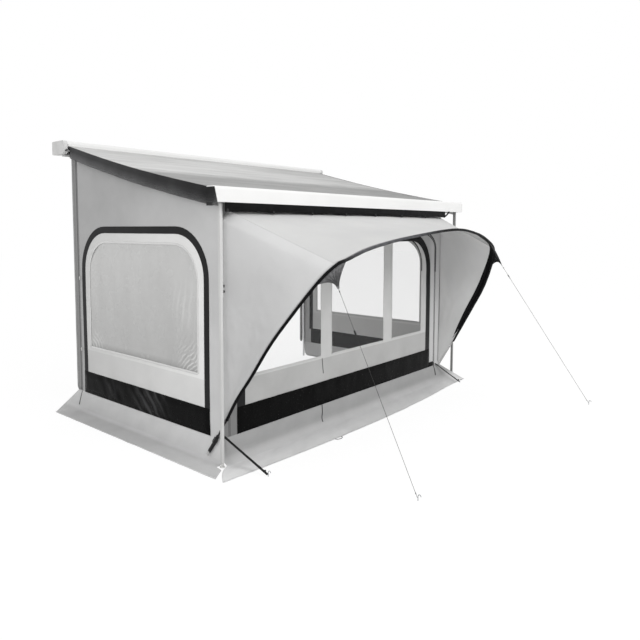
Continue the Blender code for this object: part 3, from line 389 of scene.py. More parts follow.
def rumple(x, y, size, seed, stretch=1.0):
    """A smooth wrinkle field from -1 to 1 with folds about size across."""
    return noise.fractal(Vector((x / size, y / size * stretch, seed)), 0.7, 2.1, 3)


roof_rear, roof_front, roof_half = 0.095, 2.3642, 1.939
roof_reach, roof_sag, roller_top, rail_groove = 2.27, 0.030, 2.6909, 2.160


def roof_up(out):
    """Height of the roof cloth's middle, sagging a little between roller and rail."""
    share = min(max((out - roof_rear) / roof_reach, 0), 1)
    return roller_top + (rail_groove - roller_top) * share - roof_sag * math.sin(math.pi * share)


# PVC-coated roof cloth is satin, with cloudy printed patches along its length and painted shade in long
# streaky bands.
marbled = surface("roof cloth, PVC-coated, light grey marbled print", "#CCCCCB", 0.55, Specular_IOR_Level=0.3)
tint(marbled, spots(marbled, 240, 6.0, (0.22, 1.6, 1)), "#C2C2C1", "#D4D4D3", 0.36, 0.62)
# Painted shade: the front part of the roof is darker, with a streaky edge along its length.
painted_front_shade = node(marbled.node_tree, "Math", {0: spots(marbled, 60, 4.0, (0.12, 1.8, 1)), 1: 0.55,
                                          2: axis(marbled, "Y", "UV")}, operation="MULTIPLY_ADD").outputs[0]
shade(marbled, painted_front_shade, 1.50, 1.80, 1.0, 0.51)
# Painted shade along the roller at the rear.
shade_along(marbled, "Y", 0.0, 0.7, 0.90, 1.0)
# Painted shade towards the right end.
shade_along(marbled, "X", 1.9, 3.9, 1.0, 0.76)
wear(marbled, spots(marbled, 90, 3.0, (0.3, 1, 1)), 0.48, 0.62)
bump(marbled, spots(marbled, 34, 3.0, (0.22, 1.5, 1)), 0.9)
weave(marbled, 1.4, 0.05)


def roof_place(u, v):
    out = roof_rear + (roof_front - roof_rear) * v
    x = -roof_half + 2 * roof_half * u
    held = math.sin(math.pi * v) ** 0.6
    ripple = 0.0030 * rumple(x, out, 0.55, 3.0, 2.2) + 0.0016 * rumple(x, out, 0.12, 9.0, 2.6)
    edge = 0.004 * math.exp(-(roof_half - abs(x)) / 0.03)
    return at(x, out, roof_up(out) + (ripple - edge) * held)


def seal_place(u, v):
    lip_out, lip_up = 0.2335, 2.6755
    fall = lip_up - roof_up(lip_out) - 0.0012
    return at(-1.955 + 3.91 * u, lip_out - 0.0025 * v * v, lip_up - fall * v)


roof = cloth("roof_cloth", 170, 110, roof_place, [marbled])
# Soft PVC is smooth and a little waxy, with faint marks drawn along it.
seal_look = surface("lip seal, soft extruded PVC, white", "#F2F2F1", 0.5, Specular_IOR_Level=0.3)
bump(seal_look, grain(seal_look, 4, (0.2, 1, 1), 2.0), 0.05)
seal = cloth("lip_seal", 90, 4, seal_place, [seal_look], 0.0016)
declare(roof, ["roof_fabric"], "roof_cloth", [seal])

# Hanging bands: black coated cloth along both side edges of the roof, its lower part a net and a
# painted soft shadow on the wall, and a band under the lead rail that loops over seven buttons. The left
# band is carried on round the rail's end cap and held there by its elastic hem.

# The black coating is nearly matt; the band's foot lets the wall show through and greys, partly as a net and
# partly as a painted soft shadow.
coated = surface("black band, PVC-coated polyester, soft gloss", "#101011", 0.5, Specular_IOR_Level=0.06)
tint(coated, spots(coated, 60, 4.0), "#0A0A0B", "#151516")
weave(coated, 1.2, 0.08)
net = surface("hanging band, black cloth that fades into a fine net", "#202021", 0.7, Specular_IOR_Level=0.14)
tree = net.node_tree
# The band's foot fades out and greys: partly a net, partly a painted soft shadow on the wall.
fade = node(tree, "MapRange", {"Value": axis(net, "Y", "UV"), "From Min": 0.05, "From Max": 0.135,
                               "To Min": 1.0, "To Max": 0.5})
tree.links.new(fade.outputs[0], tree.nodes["Principled BSDF"].inputs["Alpha"])
forward = node(tree, "MapRange", {"Value": axis(net, "X", "UV"), "From Max": 2.1,
                                  "To Min": 0.75, "To Max": 0.40})
mottled = node(tree, "Math", {0: spots(net, 260, 3.0), 1: -0.35, 2: forward.outputs[0]},
               operation="MULTIPLY_ADD")
tint(net, mottled.outputs[0], "#121213", "#606061", 0.1, 0.66)
shade_along(net, "Y", 0.045, 0.105, 0.62, 1.8)
weave(net, 1.6, 0.1)
band_x, band_rear, band_front, straight_share = 1.9413, 0.241, 2.359, 0.818


def band_stations(wraps):
    """The band's columns from rear to front as (x, out) at top and bottom, and their share."""
    made = []
    for step in range(150):
        share = step / 149
        out = band_rear + (band_front - band_rear) * share
        swing = 0.004 * (1 - math.cos(6 * math.pi * share)) + 0.0015 * (1 + rumple(out, 0.0, 0.12, 3.0))
        made.append(((band_x, out), (band_x + swing, out), (straight_share if wraps else 1.0) * share))
    if wraps:
        top = ((band_x, band_front), (band_x, 2.3637), (2.0003, 2.3637), (2.0003, 2.4513), (1.9943, 2.4513))
        low = (*top[:4], (1.9603, 2.4513))
        for index in range(4):
            for step in range(1, 7):
                pairs = [tuple(a + (b - a) * step / 6 for a, b in zip(line[index], line[index + 1]))
                         for line in (top, low)]
                made.append((*pairs, straight_share + (1 - straight_share) * (index * 6 + step) / 24))
    return made


for side, end in ((-1, "left"), (1, "right")):
    stations = band_stations(side < 0)

    def band_place(u, v, side=side, stations=stations):
        top, low, share = stations[round(u * (len(stations) - 1))]
        x, out = (a + (b - a) * v for a, b in zip(top, low))
        sway = 0.002 * v * (1 + rumple(out, v, 0.10, side)) if out < band_front else 0
        drop = (0.115 + 0.025 * share + 0.002 * rumple(out, 0.0, 0.09, 4.0 + side)) * v
        return at(side * (x + sway), out, roof_up(out) + 0.001 - drop)

    band = cloth(f"roof_band_{end}", len(stations) - 1, 10, band_place, [net], 0.0015)
    declare(band, [f"side_valance_{end}"], "black_cloth")

loop_first, loop_pitch = -1.866, 0.4903


def front_band_place(u, v):
    x = -1.892 + 3.458 * u
    pull = math.cos(2 * math.pi * (x - loop_first) / loop_pitch)
    drop = (0.0665 + 0.0035 * pull + 0.0020 * max(pull, 0) ** 8) * v
    fold = 0.0045 * math.sin(math.pi * v) * (0.5 - 0.5 * pull) + 0.001 * rumple(u * 3.5, v * 0.1, 0.05, 7.0)
    return at(x, 2.4483 + fold, 2.0495 - drop)


front_band = cloth("front_band", 280, 8, front_band_place, [coated], 0.0015)
# Moulded nylon has the fine, even grain of a spark-eroded mould and a soft sheen.
moulded = surface("moulded nylon, black, fine spark-eroded grain", "#141415", 0.42, Specular_IOR_Level=0.35)
bump(moulded, grain(moulded, 0.9, detail=2.0), 0.02)
wear(moulded, grain(moulded, 30), 0.34, 0.48)


def primitive(add, **sizes):
    """Start a piece from one of Blender's primitives, with nothing else selected."""
    bpy.ops.object.select_all(action="DESELECT")
    add(**sizes)
    return bpy.context.active_object

def spaced(points, count):
    """Points at even distances along a line of points."""
    lengths = [0.0]
    for before, after in zip(points, points[1:]):
        lengths.append(lengths[-1] + (Vector(after) - Vector(before)).length)
    made, index = [], 0
    for step in range(count):
        goal = lengths[-1] * step / (count - 1)
        while index < len(points) - 2 and lengths[index + 1] < goal:
            index += 1
        part = (goal - lengths[index]) / max(lengths[index + 1] - lengths[index], 1e-9)
        made.append(Vector(points[index]).lerp(Vector(points[index + 1]), part))
    return made


def catmull(points, steps):
    """A smooth line through points, as the part's own routes have it."""
    points = [Vector(p) for p in points]
    route = []
    for index in range(len(points) - 1):
        a = points[max(index - 1, 0)]
        b, c = points[index], points[index + 1]
        d = points[min(index + 2, len(points) - 1)]
        for step in range(steps):
            t = step / steps
            route.append((2 * b + (c - a) * t + (2 * a - 5 * b + 4 * c - d) * t * t
                          + (3 * b - a - 3 * c + d) * t ** 3) / 2)
    route.append(points[-1])
    return route


def shape(obj, test, *steps):
    """Select the faces that pass a test and run edit-mode steps on them."""
    select(obj)
    bpy.ops.object.mode_set(mode="EDIT")
    bpy.ops.mesh.select_mode(type="FACE")
    bpy.ops.mesh.select_all(action="DESELECT")
    bpy.ops.object.mode_set(mode="OBJECT")
    for face in obj.data.polygons:
        face.select = test(face)
    bpy.ops.object.mode_set(mode="EDIT")
    for step in steps:
        step()
    bpy.ops.object.mode_set(mode="OBJECT")


def inset(thickness):
    return lambda: bpy.ops.mesh.inset(thickness=thickness, depth=0.0)


def extrude(x, y, z):
    return lambda: bpy.ops.mesh.extrude_region_move(TRANSFORM_OT_translate={"value": (x, y, z)})


def settle(obj, name, look, bevel=0.0, segments=2, turn=None, place=(0, 0, 0)):
    """Round a modelled part's edges, turn it, put it in its place and name it."""
    select(obj)
    if bevel:
        round_off = obj.modifiers.new("round", "BEVEL")
        round_off.width = bevel
        round_off.segments = segments
        bpy.ops.object.modifier_apply(modifier=round_off.name)
    bpy.ops.object.transform_apply(location=True, rotation=True, scale=True)
    if turn:
        obj.data.transform(turn)
    obj.data.transform(Matrix.Translation(place))
    obj.name = obj.data.name = name
    obj.data.materials.clear()
    obj.data.materials.append(look)
    soften(obj, 35)
    return obj


def again(obj, name, move):
    """A copy with its own mesh, moved from the first one."""
    made = obj.copy()
    made.data = obj.data.copy()
    made.name = made.data.name = name
    made.data.transform(Matrix.Translation(move))
    bpy.context.collection.objects.link(made)
    return made


def way(heading):
    """The turn that brings +Z onto a heading."""
    return Vector(heading).to_track_quat("Z", "Y").to_matrix().to_4x4()


button = primitive(bpy.ops.mesh.primitive_cylinder_add, vertices=24, radius=0.0045, depth=0.005,
                   location=(0, 0, 0.0025))
shape(button, lambda f: f.normal.z > 0.9, lambda: bpy.ops.mesh.extrude_region_move(),
      lambda: bpy.ops.transform.resize(value=(2.6, 2.6, 1), center_override=(0, 0, 0.005)),
      extrude(0, 0, 0.005))
button = settle(button, "band_button_1", moulded, 0.0012, 3, way((0, -1, 0)), at(-1.876, 2.4525, 1.990))
buttons = [button]
for index in range(1, 7):
    buttons.append(again(button, f"band_button_{index + 1}", (3.432 / 7 * index + 0.010, 0, -0.010)))
ribbon = [at(1.566, 2.4515, 1.995), at(1.60, 2.4530, 2.013), at(1.63, 2.4520, 2.030), at(1.66, 2.4500, 2.047)]
tie = tube("band_tie", spaced(catmull(ribbon, 6), 14), 0.0085, coated)
declare(front_band, ["front_valance"], "black_cloth", [*buttons, tie])


# Room walls: coated polyester, zipped to the awning and stretched between rail and ground.
# Inside a black frame the cloth is a paler, smoother PVC round the clear foil windows.
def rounded_box(left, right, low, high, radii=(0, 0, 0, 0), steps=12):
    """A rectangle's outline with rounded corners, from the lower left corner round."""
    path = []
    corners = ((left, low, 1.0), (right, low, 1.5), (right, high, 0.0), (left, high, 0.5))
    for (a, b, first), radius in zip(corners, radii):
        if not radius:
            path.append((a, b))
            continue
        middle = (a + radius if a == left else a - radius, b + radius if b == low else b - radius)
        for step in range(steps + 1):
            angle = math.pi * (first + 0.5 * step / steps)
            path.append((middle[0] + radius * math.cos(angle), middle[1] + radius * math.sin(angle)))
    return path


def within(a, b, left, right, low, high, radius):
    """Whether a point lies in a rectangle whose upper corners are rounded."""
    if not (left < a < right and low < b < high):
        return False
    da, db = max(left + radius - a, a - right + radius, 0), max(b - high + radius, 0)
    return math.hypot(da, db) < radius or not (da and db)


def inside(a, b, left, right, low, high):
    """How far inside a rectangle's nearest edge a point lies."""
    return min(a - left, right - a, b - low, high - b)

def panel(name, outlines, cell, place, looks, thickness=0.002, zone=None, flip=False):
    """Cloth cut to outlines, divided into cells, and laid in place point by point."""
    bm = bmesh.new()
    for outline in outlines:
        ring = [bm.verts.new((a, b, 0)) for a, b in outline]
        for before, after in zip(ring, ring[1:] + ring[:1]):
            bm.edges.new((before, after))
    bmesh.ops.triangle_fill(bm, use_beauty=True, edges=bm.edges[:])
    for way_on in (0, 1):
        values = [point[way_on] for point in outlines[0]]
        count = max(round((max(values) - min(values)) / cell), 1)
        for step in range(1, count):
            spot, turn = [0, 0, 0], [0, 0, 0]
            spot[way_on] = min(values) + (max(values) - min(values)) * step / count
            turn[way_on] = 1
            bmesh.ops.bisect_plane(bm, geom=bm.verts[:] + bm.edges[:] + bm.faces[:], dist=0.00002,
                                   plane_co=spot, plane_no=turn)
    slanted = []
    for edge in bm.edges:
        run = edge.verts[0].co - edge.verts[1].co
        if len(edge.link_faces) == 2 and abs(run.x) > 0.00005 and abs(run.y) > 0.00005:
            slanted.append(edge)
    bmesh.ops.dissolve_edges(bm, edges=slanted, use_verts=False)
    loose = [v for v in bm.verts if len(v.link_edges) == 2 and not v.is_boundary]
    bmesh.ops.dissolve_verts(bm, verts=loose)
    bm.normal_update()
    for face in bm.faces:
        if (face.normal.z < 0) != flip:
            face.normal_flip()
    layer = bm.loops.layers.uv.new("UVMap")
    for face in bm.faces:
        middle = face.calc_center_median()
        face.smooth = True
        face.material_index = zone(middle.x, middle.y) if zone else 0
        for loop in face.loops:
            loop[layer].uv = (loop.vert.co.x, loop.vert.co.y)
    area = sum(face.calc_area() for face in bm.faces)
    for vert in bm.verts:
        vert.co = place(vert.co.x, vert.co.y)
    mesh = bpy.data.meshes.new(name)
    bm.to_mesh(mesh)
    bm.free()
    made = put(name, mesh, looks)
    for key, values in zip(("wide", "long"), zip(*outlines[0])):
        made[key] = max(values) - min(values)
    made["area"] = area
    thicken(made, thickness)
    soften(made, 40)
    return made


def ease(value, low, high):
    """0 below low, 1 above high and smooth between."""
    share = min(max((value - low) / (high - low), 0), 1)
    return share * share * (3 - 2 * share)


def evened(path, count):
    """A line of (a, b) with its points at even distances."""
    return [tuple(p)[:2] for p in spaced([Vector((a, b, 0)) for a, b in path], count)]


def run_of(path, before, after):
    """The way a line of (a, b) runs from one of its points to another."""
    (a, b), (c, d) = path[max(before, 0)], path[min(after, len(path) - 1)]
    return Vector((c - a, d - b)).normalized()


def trim(name, path, width, lift, look, place, thickness):
    """A flat tape on a panel along a path of (a, b), its edges lying on the cloth."""
    def spot(u, v):
        index = u * (len(path) - 1)
        first = min(int(index), len(path) - 2)
        a, b = (p + (q - p) * (index - first) for p, q in zip(path[first], path[first + 1]))
        run = run_of(path, first - 1, first + 2)
        return place(a - run.y * width * (v - 0.5), b + run.x * width * (v - 0.5), lift)

    return cloth(name, len(path) - 1, 2, spot, [look], thickness)


def zip_coil(name, path, place, lift, look, half=0.0028, pitch=0.0025):
    """A nylon zip's closed coil: a half-round ridge ribbed at the coil's pitch."""
    length = sum(math.dist(p, q) for p, q in zip(path, path[1:]))
    count = int(length / pitch * 2)
    line = spaced([Vector((a, b, 0)) for a, b in path], count)
    verts, faces = [], []
    for index, point in enumerate(line):
        run = (line[min(index + 1, count - 1)] - line[max(index - 1, 0)]).normalized()
        rise = 0.0022 if index % 2 else 0.0014
        for share, high in ((-1, 0), (-0.6, 0.8), (0, 1), (0.6, 0.8), (1, 0)):
            wide = half * (1 if index % 2 else 0.86) * share
            verts.append(place(point.x - run.y * wide, point.y + run.x * wide, lift + rise * high))
        if index:
            a = (index - 1) * 5
            faces += [(a + k, a + k + 1, a + k + 6, a + k + 5) for k in range(4)]
    return collect(name, verts, faces, [look], smooth=25)


def glints(look, spot, radius, pitch_mm, turn, colour, wobble, strength):
    """Painted highlights and painted shade: light or dark stripes that fade out round a spot of the cloth, on
    creases that catch the light or lie in shade.
    """
    tree = look.node_tree
    base = tree.nodes["Principled BSDF"].inputs["Base Color"]
    coords = node(tree, "TexCoord").outputs["UV"]
    away = node(tree, "VectorMath", {0: coords, 1: (*spot, 0)}, operation="DISTANCE").outputs["Value"]
    near = node(tree, "MapRange", {"Value": away, "From Min": 0.0, "From Max": radius,
                                   "To Min": strength, "To Max": 0.0}).outputs[0]
    ridge = node(tree, "Math", {0: bands(look, pitch_mm, turn, wobble), 1: 3.0}, operation="POWER").outputs[0]
    amount = node(tree, "Math", {0: near, 1: ridge}, operation="MULTIPLY").outputs[0]
    mixed = node(tree, "Mix", {0: amount, 6: base.links[0].from_socket, 7: tone(colour)}, data_type="RGBA")
    tree.links.new(mixed.outputs[2], base)


def wall_cloth(name):
    """Coated polyester: matt, with faint clouds and the soft waves of cloth under tension."""
    made = surface(name, "#B4B4B4", 0.66, Specular_IOR_Level=0.3)
    tint(made, spots(made, 420, 5.0), "#AFAFAF", "#BABABA")
    wear(made, spots(made, 70, 3.0), 0.60, 0.74)
    bump(made, spots(made, 120, 3.0, (0.6, 1.3, 1)), 0.6)
    weave(made)
    return made


walling = wall_cloth("side wall cloth, coated polyester, mid grey")
# Painted light: the side walls grow lighter towards the front.
shade_along(walling, "X", 1.0, 2.3, 1.0, 1.40)
front_walling = wall_cloth("front wall cloth, coated polyester, mid grey")
# Painted shade at the left edge, where the cheek shades the wall.
shade_along(front_walling, "X", -1.70, -1.62, 0.46, 1.0)
# Painted light on the part right of the frame.
shade_along(front_walling, "X", 1.34, 1.42, 1.0, 1.28)


def smooth_cloth(name, dark, light):
    """The smoother PVC cloth inside the black frames."""
    made = surface(name, light, 0.5, Specular_IOR_Level=0.35)
    tint(made, spots(made, 300, 4.0), dark, light)
    bump(made, spots(made, 80, 3.0), 0.6)
    weave(made, 1.0, 0.03)
    return made


border = smooth_cloth("window border, smooth PVC cloth, near white", "#E4E4E3", "#EBEBEA")
# Painted light: lighter towards the front, as on the wall.
shade_along(border, "X", 0.35, 2.20, 0.83, 1.12)
lower = smooth_cloth("panel under the side window, smooth PVC cloth, pale grey", "#D6D6D5", "#DFDFDE")
# Painted light: lighter towards the front, as on the wall.
shade_along(lower, "X", 0.35, 2.20, 0.86, 1.12)
divider = smooth_cloth("front window surround, smooth PVC cloth, grey", "#C6C6C5", "#D0D0CF")
front_lower = smooth_cloth("panel under the front windows, smooth PVC cloth, grey", "#B0B0AF", "#BBBBBA")
# Black PVC cloth is dull on the frames; the film of the strips mirrors its surroundings, and the side strips'
# creases carry painted highlights.
binding = surface("frame, black PVC cloth, dull", "#121213", 0.5, Specular_IOR_Level=0.17)
tint(binding, spots(binding, 180, 4.0), "#0F0F10", "#18181A")
bump(binding, spots(binding, 90, 3.0, (0.5, 1.4, 1)), 0.5)
mud = surface("mud strip, black PVC film, glossy", "#050506", 0.24, Specular_IOR_Level=0.04)
tint(mud, spots(mud, 220, 4.0), "#040404", "#090909")
wear(mud, spots(mud, 60, 3.0), 0.18, 0.32)
side_mud = mud.copy()
side_mud.name = "mud strip, black PVC film, creased"
# Painted highlights on the side strips' diagonal creases.
glints(side_mud, (1.42, 0.31), 0.30, 95, -0.75, "#4A4A4B", 3.0, 1.0)
glints(side_mud, (0.80, 0.31), 0.22, 120, -0.5, "#38383A", 3.0, 0.45)
# Old window foil is milky and wavy, with painted highlights and painted shade on its creases. New foil is
# nearly clear.
milky = surface("window foil, soft PVC, milky with a film of dust", "#CDCDCC", 0.24, Alpha=0.88)
tint(milky, spots(milky, 500, 3.0, (2.2, 0.6, 1)), "#CACAC9", "#D2D2D1")
# Darker towards its foot, and darkest along the bottom edge.
shade_along(milky, "Y", 0.74, 1.55, 0.88, 1.08)
shade_along(milky, "Y", 0.69, 0.75, 0.68, 1.0)
# Painted highlights on the creases near the lower corners and the front edge, with painted shade between those
# at the front corner.
glints(milky, (2.00, 0.77), 0.20, 34, 0.9, "#F6F6F5", 5.0, 0.9)
glints(milky, (1.96, 0.80), 0.22, 52, 0.7, "#9C9C9B", 5.0, 0.55)
glints(milky, (0.54, 0.74), 0.15, 40, -0.7, "#F2F2F1", 5.0, 0.7)
glints(milky, (1.93, 1.22), 0.26, 70, 0.15, "#F0F0EF", 4.0, 0.45)
wear(milky, spots(milky, 220, 3.0), 0.18, 0.34)
bump(milky, spots(milky, 150, 2.0, (1.8, 0.4, 1)), 1.2)
clear = surface("window foil, soft PVC, clear and a little dusty", "#8A8A8A", 0.10, Alpha=0.06)
bump(clear, spots(clear, 160, 2.0, (1, 0.7, 1)), 1.2)
# Welds, zips and tapes: smooth PVC, ribbed nylon and woven tape. Moulded nylon has a soft sheen.
piping = surface("weld tape and piping, pale PVC", "#E4E4E3", 0.42)
bump(piping, grain(piping, 6, detail=3.0), 0.12)
coil = surface("zip coil, black nylon", "#161617", 0.48, Specular_IOR_Level=0.3)
bump(coil, grain(coil, 1.2), 0.05)
zip_tape = surface("zip tape, woven polyester, grey", "#929292", 0.75, Specular_IOR_Level=0.25)
weave(zip_tape, 0.8, 0.12)
seam = surface("flat seam, grey binding tape", "#666666", 0.7, Specular_IOR_Level=0.25)
bump(seam, bands(seam, 3.0), 0.3)
nylon = surface("moulded nylon, pale grey", "#D8D8D6", 0.42)
bump(nylon, grain(nylon, 0.8, detail=2.0), 0.02)


def side_zone(a, b):
    """Which cloth a side wall has at a point: wall, border, lower panel or black."""
    if within(a, b, 0.348, 2.197, 0.42, 1.827, 0.377):
        return 1 if b > 0.66 else 2
    return 3 if within(a, b, 0.325, 2.220, 0.209, 1.850, 0.400) else 0


room_rear, room_front, wall_foot, rail_under = 0.175, 2.368, 0.2083, 2.0497
wall_planes = {"left": -1.879, "right": 1.621}
pane_box, pane_corners = (0.440, 2.100, 0.685, 1.725), (0, 0, 0.30, 0.30)
frame_rear, frame_front, strip_top = 0.305, 2.240, 0.425
skin = 0.0021


def black_frame(end, ring, place, turned):
    """The black frame on a wall's outer side and its lining on the inner side."""
    sides = ((f"frame_{end}", skin, turned), (f"frame_lining_{end}", -skin, not turned))
    return [panel(name, ring, 0.03, lambda a, b, lift=lift: place(a, b, lift), [binding], flip=flip)
            for name, lift, flip in sides]


pane_hem = rounded_box(*pane_box, pane_corners, 24)
side_ring = [rounded_box(frame_rear, frame_front, 0.405, 1.870, (0, 0, 0.42, 0.42)),
             rounded_box(0.367, 2.178, 0.415, 1.808, (0, 0, 0.358, 0.358))]
edge_front = 2.3647
roof_edge = [edge_front - (edge_front - room_rear) * step / 40 for step in range(41)]
for side, end, foil in ((1, "left", milky), (-1, "right", clear)):
    x = wall_planes[end]

    def bulge(a, b, side=side):
        edge = ease(inside(a, b, room_rear, room_front, 0.208, 2.02), 0.0, 0.16)
        fine = rumple(a, b, 0.22, 2.0 + side, 0.5) * (0.0012 + 0.0020 * ease(0.6 - b, 0, 0.5))
        return edge * (0.0040 * rumple(a, b, 0.9, 5.0 + side) + fine)

    def wall(a, b, lift=0.0, side=side, x=x, bulge=bulge):
        return at(x + side * 0.001 - side * (bulge(a, b) + lift), a, b)

    def strip_place(a, b, wall=wall):
        inner = ease(inside(a, b, frame_rear, frame_front, wall_foot, strip_top), 0.0, 0.05)
        run = (a - 1.42) + (b - 0.31) * 0.9
        diagonal = math.sin(run * 46) * math.exp(-(run / 0.17) ** 2)
        diagonal += 0.5 * math.sin(run * 30) * math.exp(-((run + 0.62) / 0.16) ** 2)
        soft = rumple(a, b, 0.30, 11.0, 0.45)
        return wall(a, b, 2 * skin + inner * (0.0070 + 0.0060 * diagonal + 0.0030 * soft))

    def foil_place(a, b, x=x, side=side, bulge=bulge):
        inner = ease(inside(a, b, *pane_box), 0.0, 0.09)
        low_front = math.exp(-((a - 1.98) / 0.16) ** 2 - ((b - 0.76) / 0.12) ** 2)
        low_rear = math.exp(-((a - 0.56) / 0.14) ** 2 - ((b - 0.76) / 0.10) ** 2)
        streak = 0.0045 * math.sin((a * 1.1 + b) * 80) * low_front
        streak += 0.0030 * math.sin((a - b) * 85) * low_rear
        upright = 0.0040 * math.sin(a * 26 + 2.2 * rumple(a, b, 0.8, 23.0))
        upright *= math.exp(-((a - 1.86) / 0.22) ** 2)
        soft = 0.0045 * rumple(a, b, 0.55, 21.0, 0.35)
        hollow = inner * (0.0065 + soft + streak + upright * ease(1.5 - b, 0, 0.4))
        return at(x + side * (0.0028 + max(hollow, -0.0005) - bulge(a, b)), a, b)

    outline = [(room_rear, wall_foot), (room_front, wall_foot), (room_front, rail_under)]
    outline += [(out, roof_up(out) - skin) if out < 2.3646 else (out, rail_under) for out in roof_edge]
    made = panel(f"wall_{end}", [outline, rounded_box(*pane_box, pane_corners)], 0.026, wall,
                 [walling, border, lower, binding], zone=side_zone, flip=side > 0)
    band, lining = black_frame(end, side_ring, wall, side > 0)
    strip = panel(f"mud_strip_{end}", [rounded_box(frame_rear, frame_front, 0.2085, strip_top)], 0.014,
                  strip_place, [side_mud], 0.0015, flip=side > 0)
    weld = trim(f"foil_weld_{end}", evened(pane_hem + pane_hem[:1], 220), 0.020, 0.0018, piping, wall, 0.001)
    pane = panel(f"foil_{end}", [rounded_box(0.425, 2.115, 0.670, 1.740, pane_corners)], 0.016, foil_place,
                 [foil], 0.0008, flip=side < 0)
    edging = trim(f"rear_edging_{end}", [(0.218, 0.215 + 2.42 * s / 60) for s in range(61)], 0.080, 0.0018,
                  zip_tape, wall, 0.0012)
    rear_seam = trim(f"rear_seam_{end}", [(0.236, 0.215 + 2.36 * s / 60) for s in range(61)], 0.011, 0.0032,
                     seam, wall, 0.001)
    toggle_out, toggle_low, toggle_high = 0.270, 0.642, 1.359
    toggle = primitive(bpy.ops.mesh.primitive_cylinder_add, vertices=20, radius=0.0055, depth=0.034)
    shape(toggle, lambda f: abs(f.normal.z) > 0.9, inset(0.0015), extrude(0, 0, 0))
    toggle = settle(toggle, f"wall_toggle_{end}_low", nylon, 0.0018, 3,
                    place=at(x - side * 0.0095, toggle_out, toggle_low))
    fittings = [toggle, again(toggle, f"wall_toggle_{end}_high", (0, 0, toggle_high - toggle_low))]
    for index, up in enumerate((toggle_low, toggle_high)):
        turns = [math.pi * s / 14 for s in range(15)]
        hold = [at(x - side * (0.003 + 0.0125 * math.sin(a)), toggle_out - 0.020 * math.cos(a), up)
                for a in turns]
        fittings.append(tube(f"toggle_loop_{end}_{index + 1}", hold, 0.0017, nylon))
    belong("black_cloth", band, lining, strip)
    belong("light_cloth", weld, edging)
    belong("clear_foil", pane)
    belong("grey_cloth", rear_seam)
    belong("grey_plastic", *fittings)
    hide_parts(f"side_frame_{end}")
    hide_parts(f"side_pane_{end}")
    declare(made, [f"side_wall_{end}"], "grey_cloth")


# Front wall: the same cloth, with three windows between grey dividers, a zip on each side
# that frees the whole middle, and the seam where the cheek is sewn on.
def front_bulge(a, b):
    edge = ease(inside(a, b, *wall_planes.values(), 0.208, 1.93), 0.05, 0.22)
    fine = 0.0012 * rumple(a, b, 0.20, 31.0, 0.6)
    low = 0.0028 * rumple(a, b, 0.14, 32.0, 0.4) * ease(0.70 - b, 0.0, 0.18)
    return edge * (0.004 * rumple(a, b, 0.8, 30.0) + fine + low)


def front(a, b, lift=0.0):
    return at(a, 2.367 + front_bulge(a, b) + lift, b)


def front_zone(a, b):
    """Which cloth the front wall has at a point: wall, surround, lower panel or black."""
    if within(a, b, -1.667, 1.333, 0.42, 1.755, 0.375):
        return 1 if b > 0.64 else 2
    return 3 if within(a, b, -1.690, 1.356, 0.209, 1.779, 0.399) else 0


window_low, window_high, window_round = 0.665, 1.73, 0.32
spans = ((-1.579, -0.6478), (-0.4910, 0.3954), (0.5523, 1.177))
windows = [rounded_box(*span, window_low, window_high, (0, 0, right * window_round, left * window_round))
           for span, left, right in zip(spans, (1, 0, 0), (0, 0, 1))]
wall_front = panel("wall_front", [rounded_box(-1.8767, 1.6187, wall_foot, rail_under), *windows], 0.027,
                   front, [front_walling, divider, front_lower, binding], zone=front_zone)
strip_box = (-1.712, 1.378, 0.2085, strip_top)
ring = [rounded_box(*strip_box[:2], 0.405, 1.80, (0, 0, 0.42, 0.42)),
        rounded_box(-1.622, 1.288, 0.415, 1.71, (0, 0, 0.33, 0.33))]
band, lining = black_frame("front", ring, front, False)


def front_strip_place(a, b):
    inner = ease(inside(a, b, *strip_box), 0.0, 0.05)
    return front(a, b, 2 * skin + inner * (0.0045 + 0.0035 * rumple(a, b, 0.30, 33.0, 0.4)))


strip = panel("mud_strip_front", [rounded_box(*strip_box)], 0.018, front_strip_place, [mud], 0.0015)


def front_foil_place(a, b):
    inner = max(ease(inside(a, b, *span, window_low, window_high), 0.0, 0.10) for span in spans)
    soft = 0.004 * rumple(a, b, 0.42, 41.0, 0.4) + 0.0008 * rumple(a, b, 0.10, 42.0, 0.5)
    return at(a, 2.3652 + front_bulge(a, b) - max(inner * (0.004 + soft), -0.0005), b)


pane = panel("foil_front", [rounded_box(-1.594, 1.192, 0.650, 1.745, (0, 0, window_round, window_round))],
             0.022, front_foil_place, [clear], 0.0008)
extras = [trim(f"front_weld_{index + 1}", evened(window + window[:1], 160), 0.012, 0.0018, divider, front,
               0.001) for index, window in enumerate(windows)]
zip_straight_top = 1.61


def zip_route(x, turn):
    """Up beside the frame and round its corner."""
    path = [(x, 0.2095), (x, zip_straight_top)]
    for angle in (math.pi * s / 36 for s in range(1, 16)):
        path.append((x - turn * 0.30 * (1 - math.cos(angle)), zip_straight_top + 0.19 * math.sin(angle)))
    return evened(path, 130)


def aside(path, distance):
    """The same line, moved sideways."""
    runs = [run_of(path, index - 1, index + 1) for index in range(len(path))]
    return [(a - run.y * distance, b + run.x * distance) for (a, b), run in zip(path, runs)]


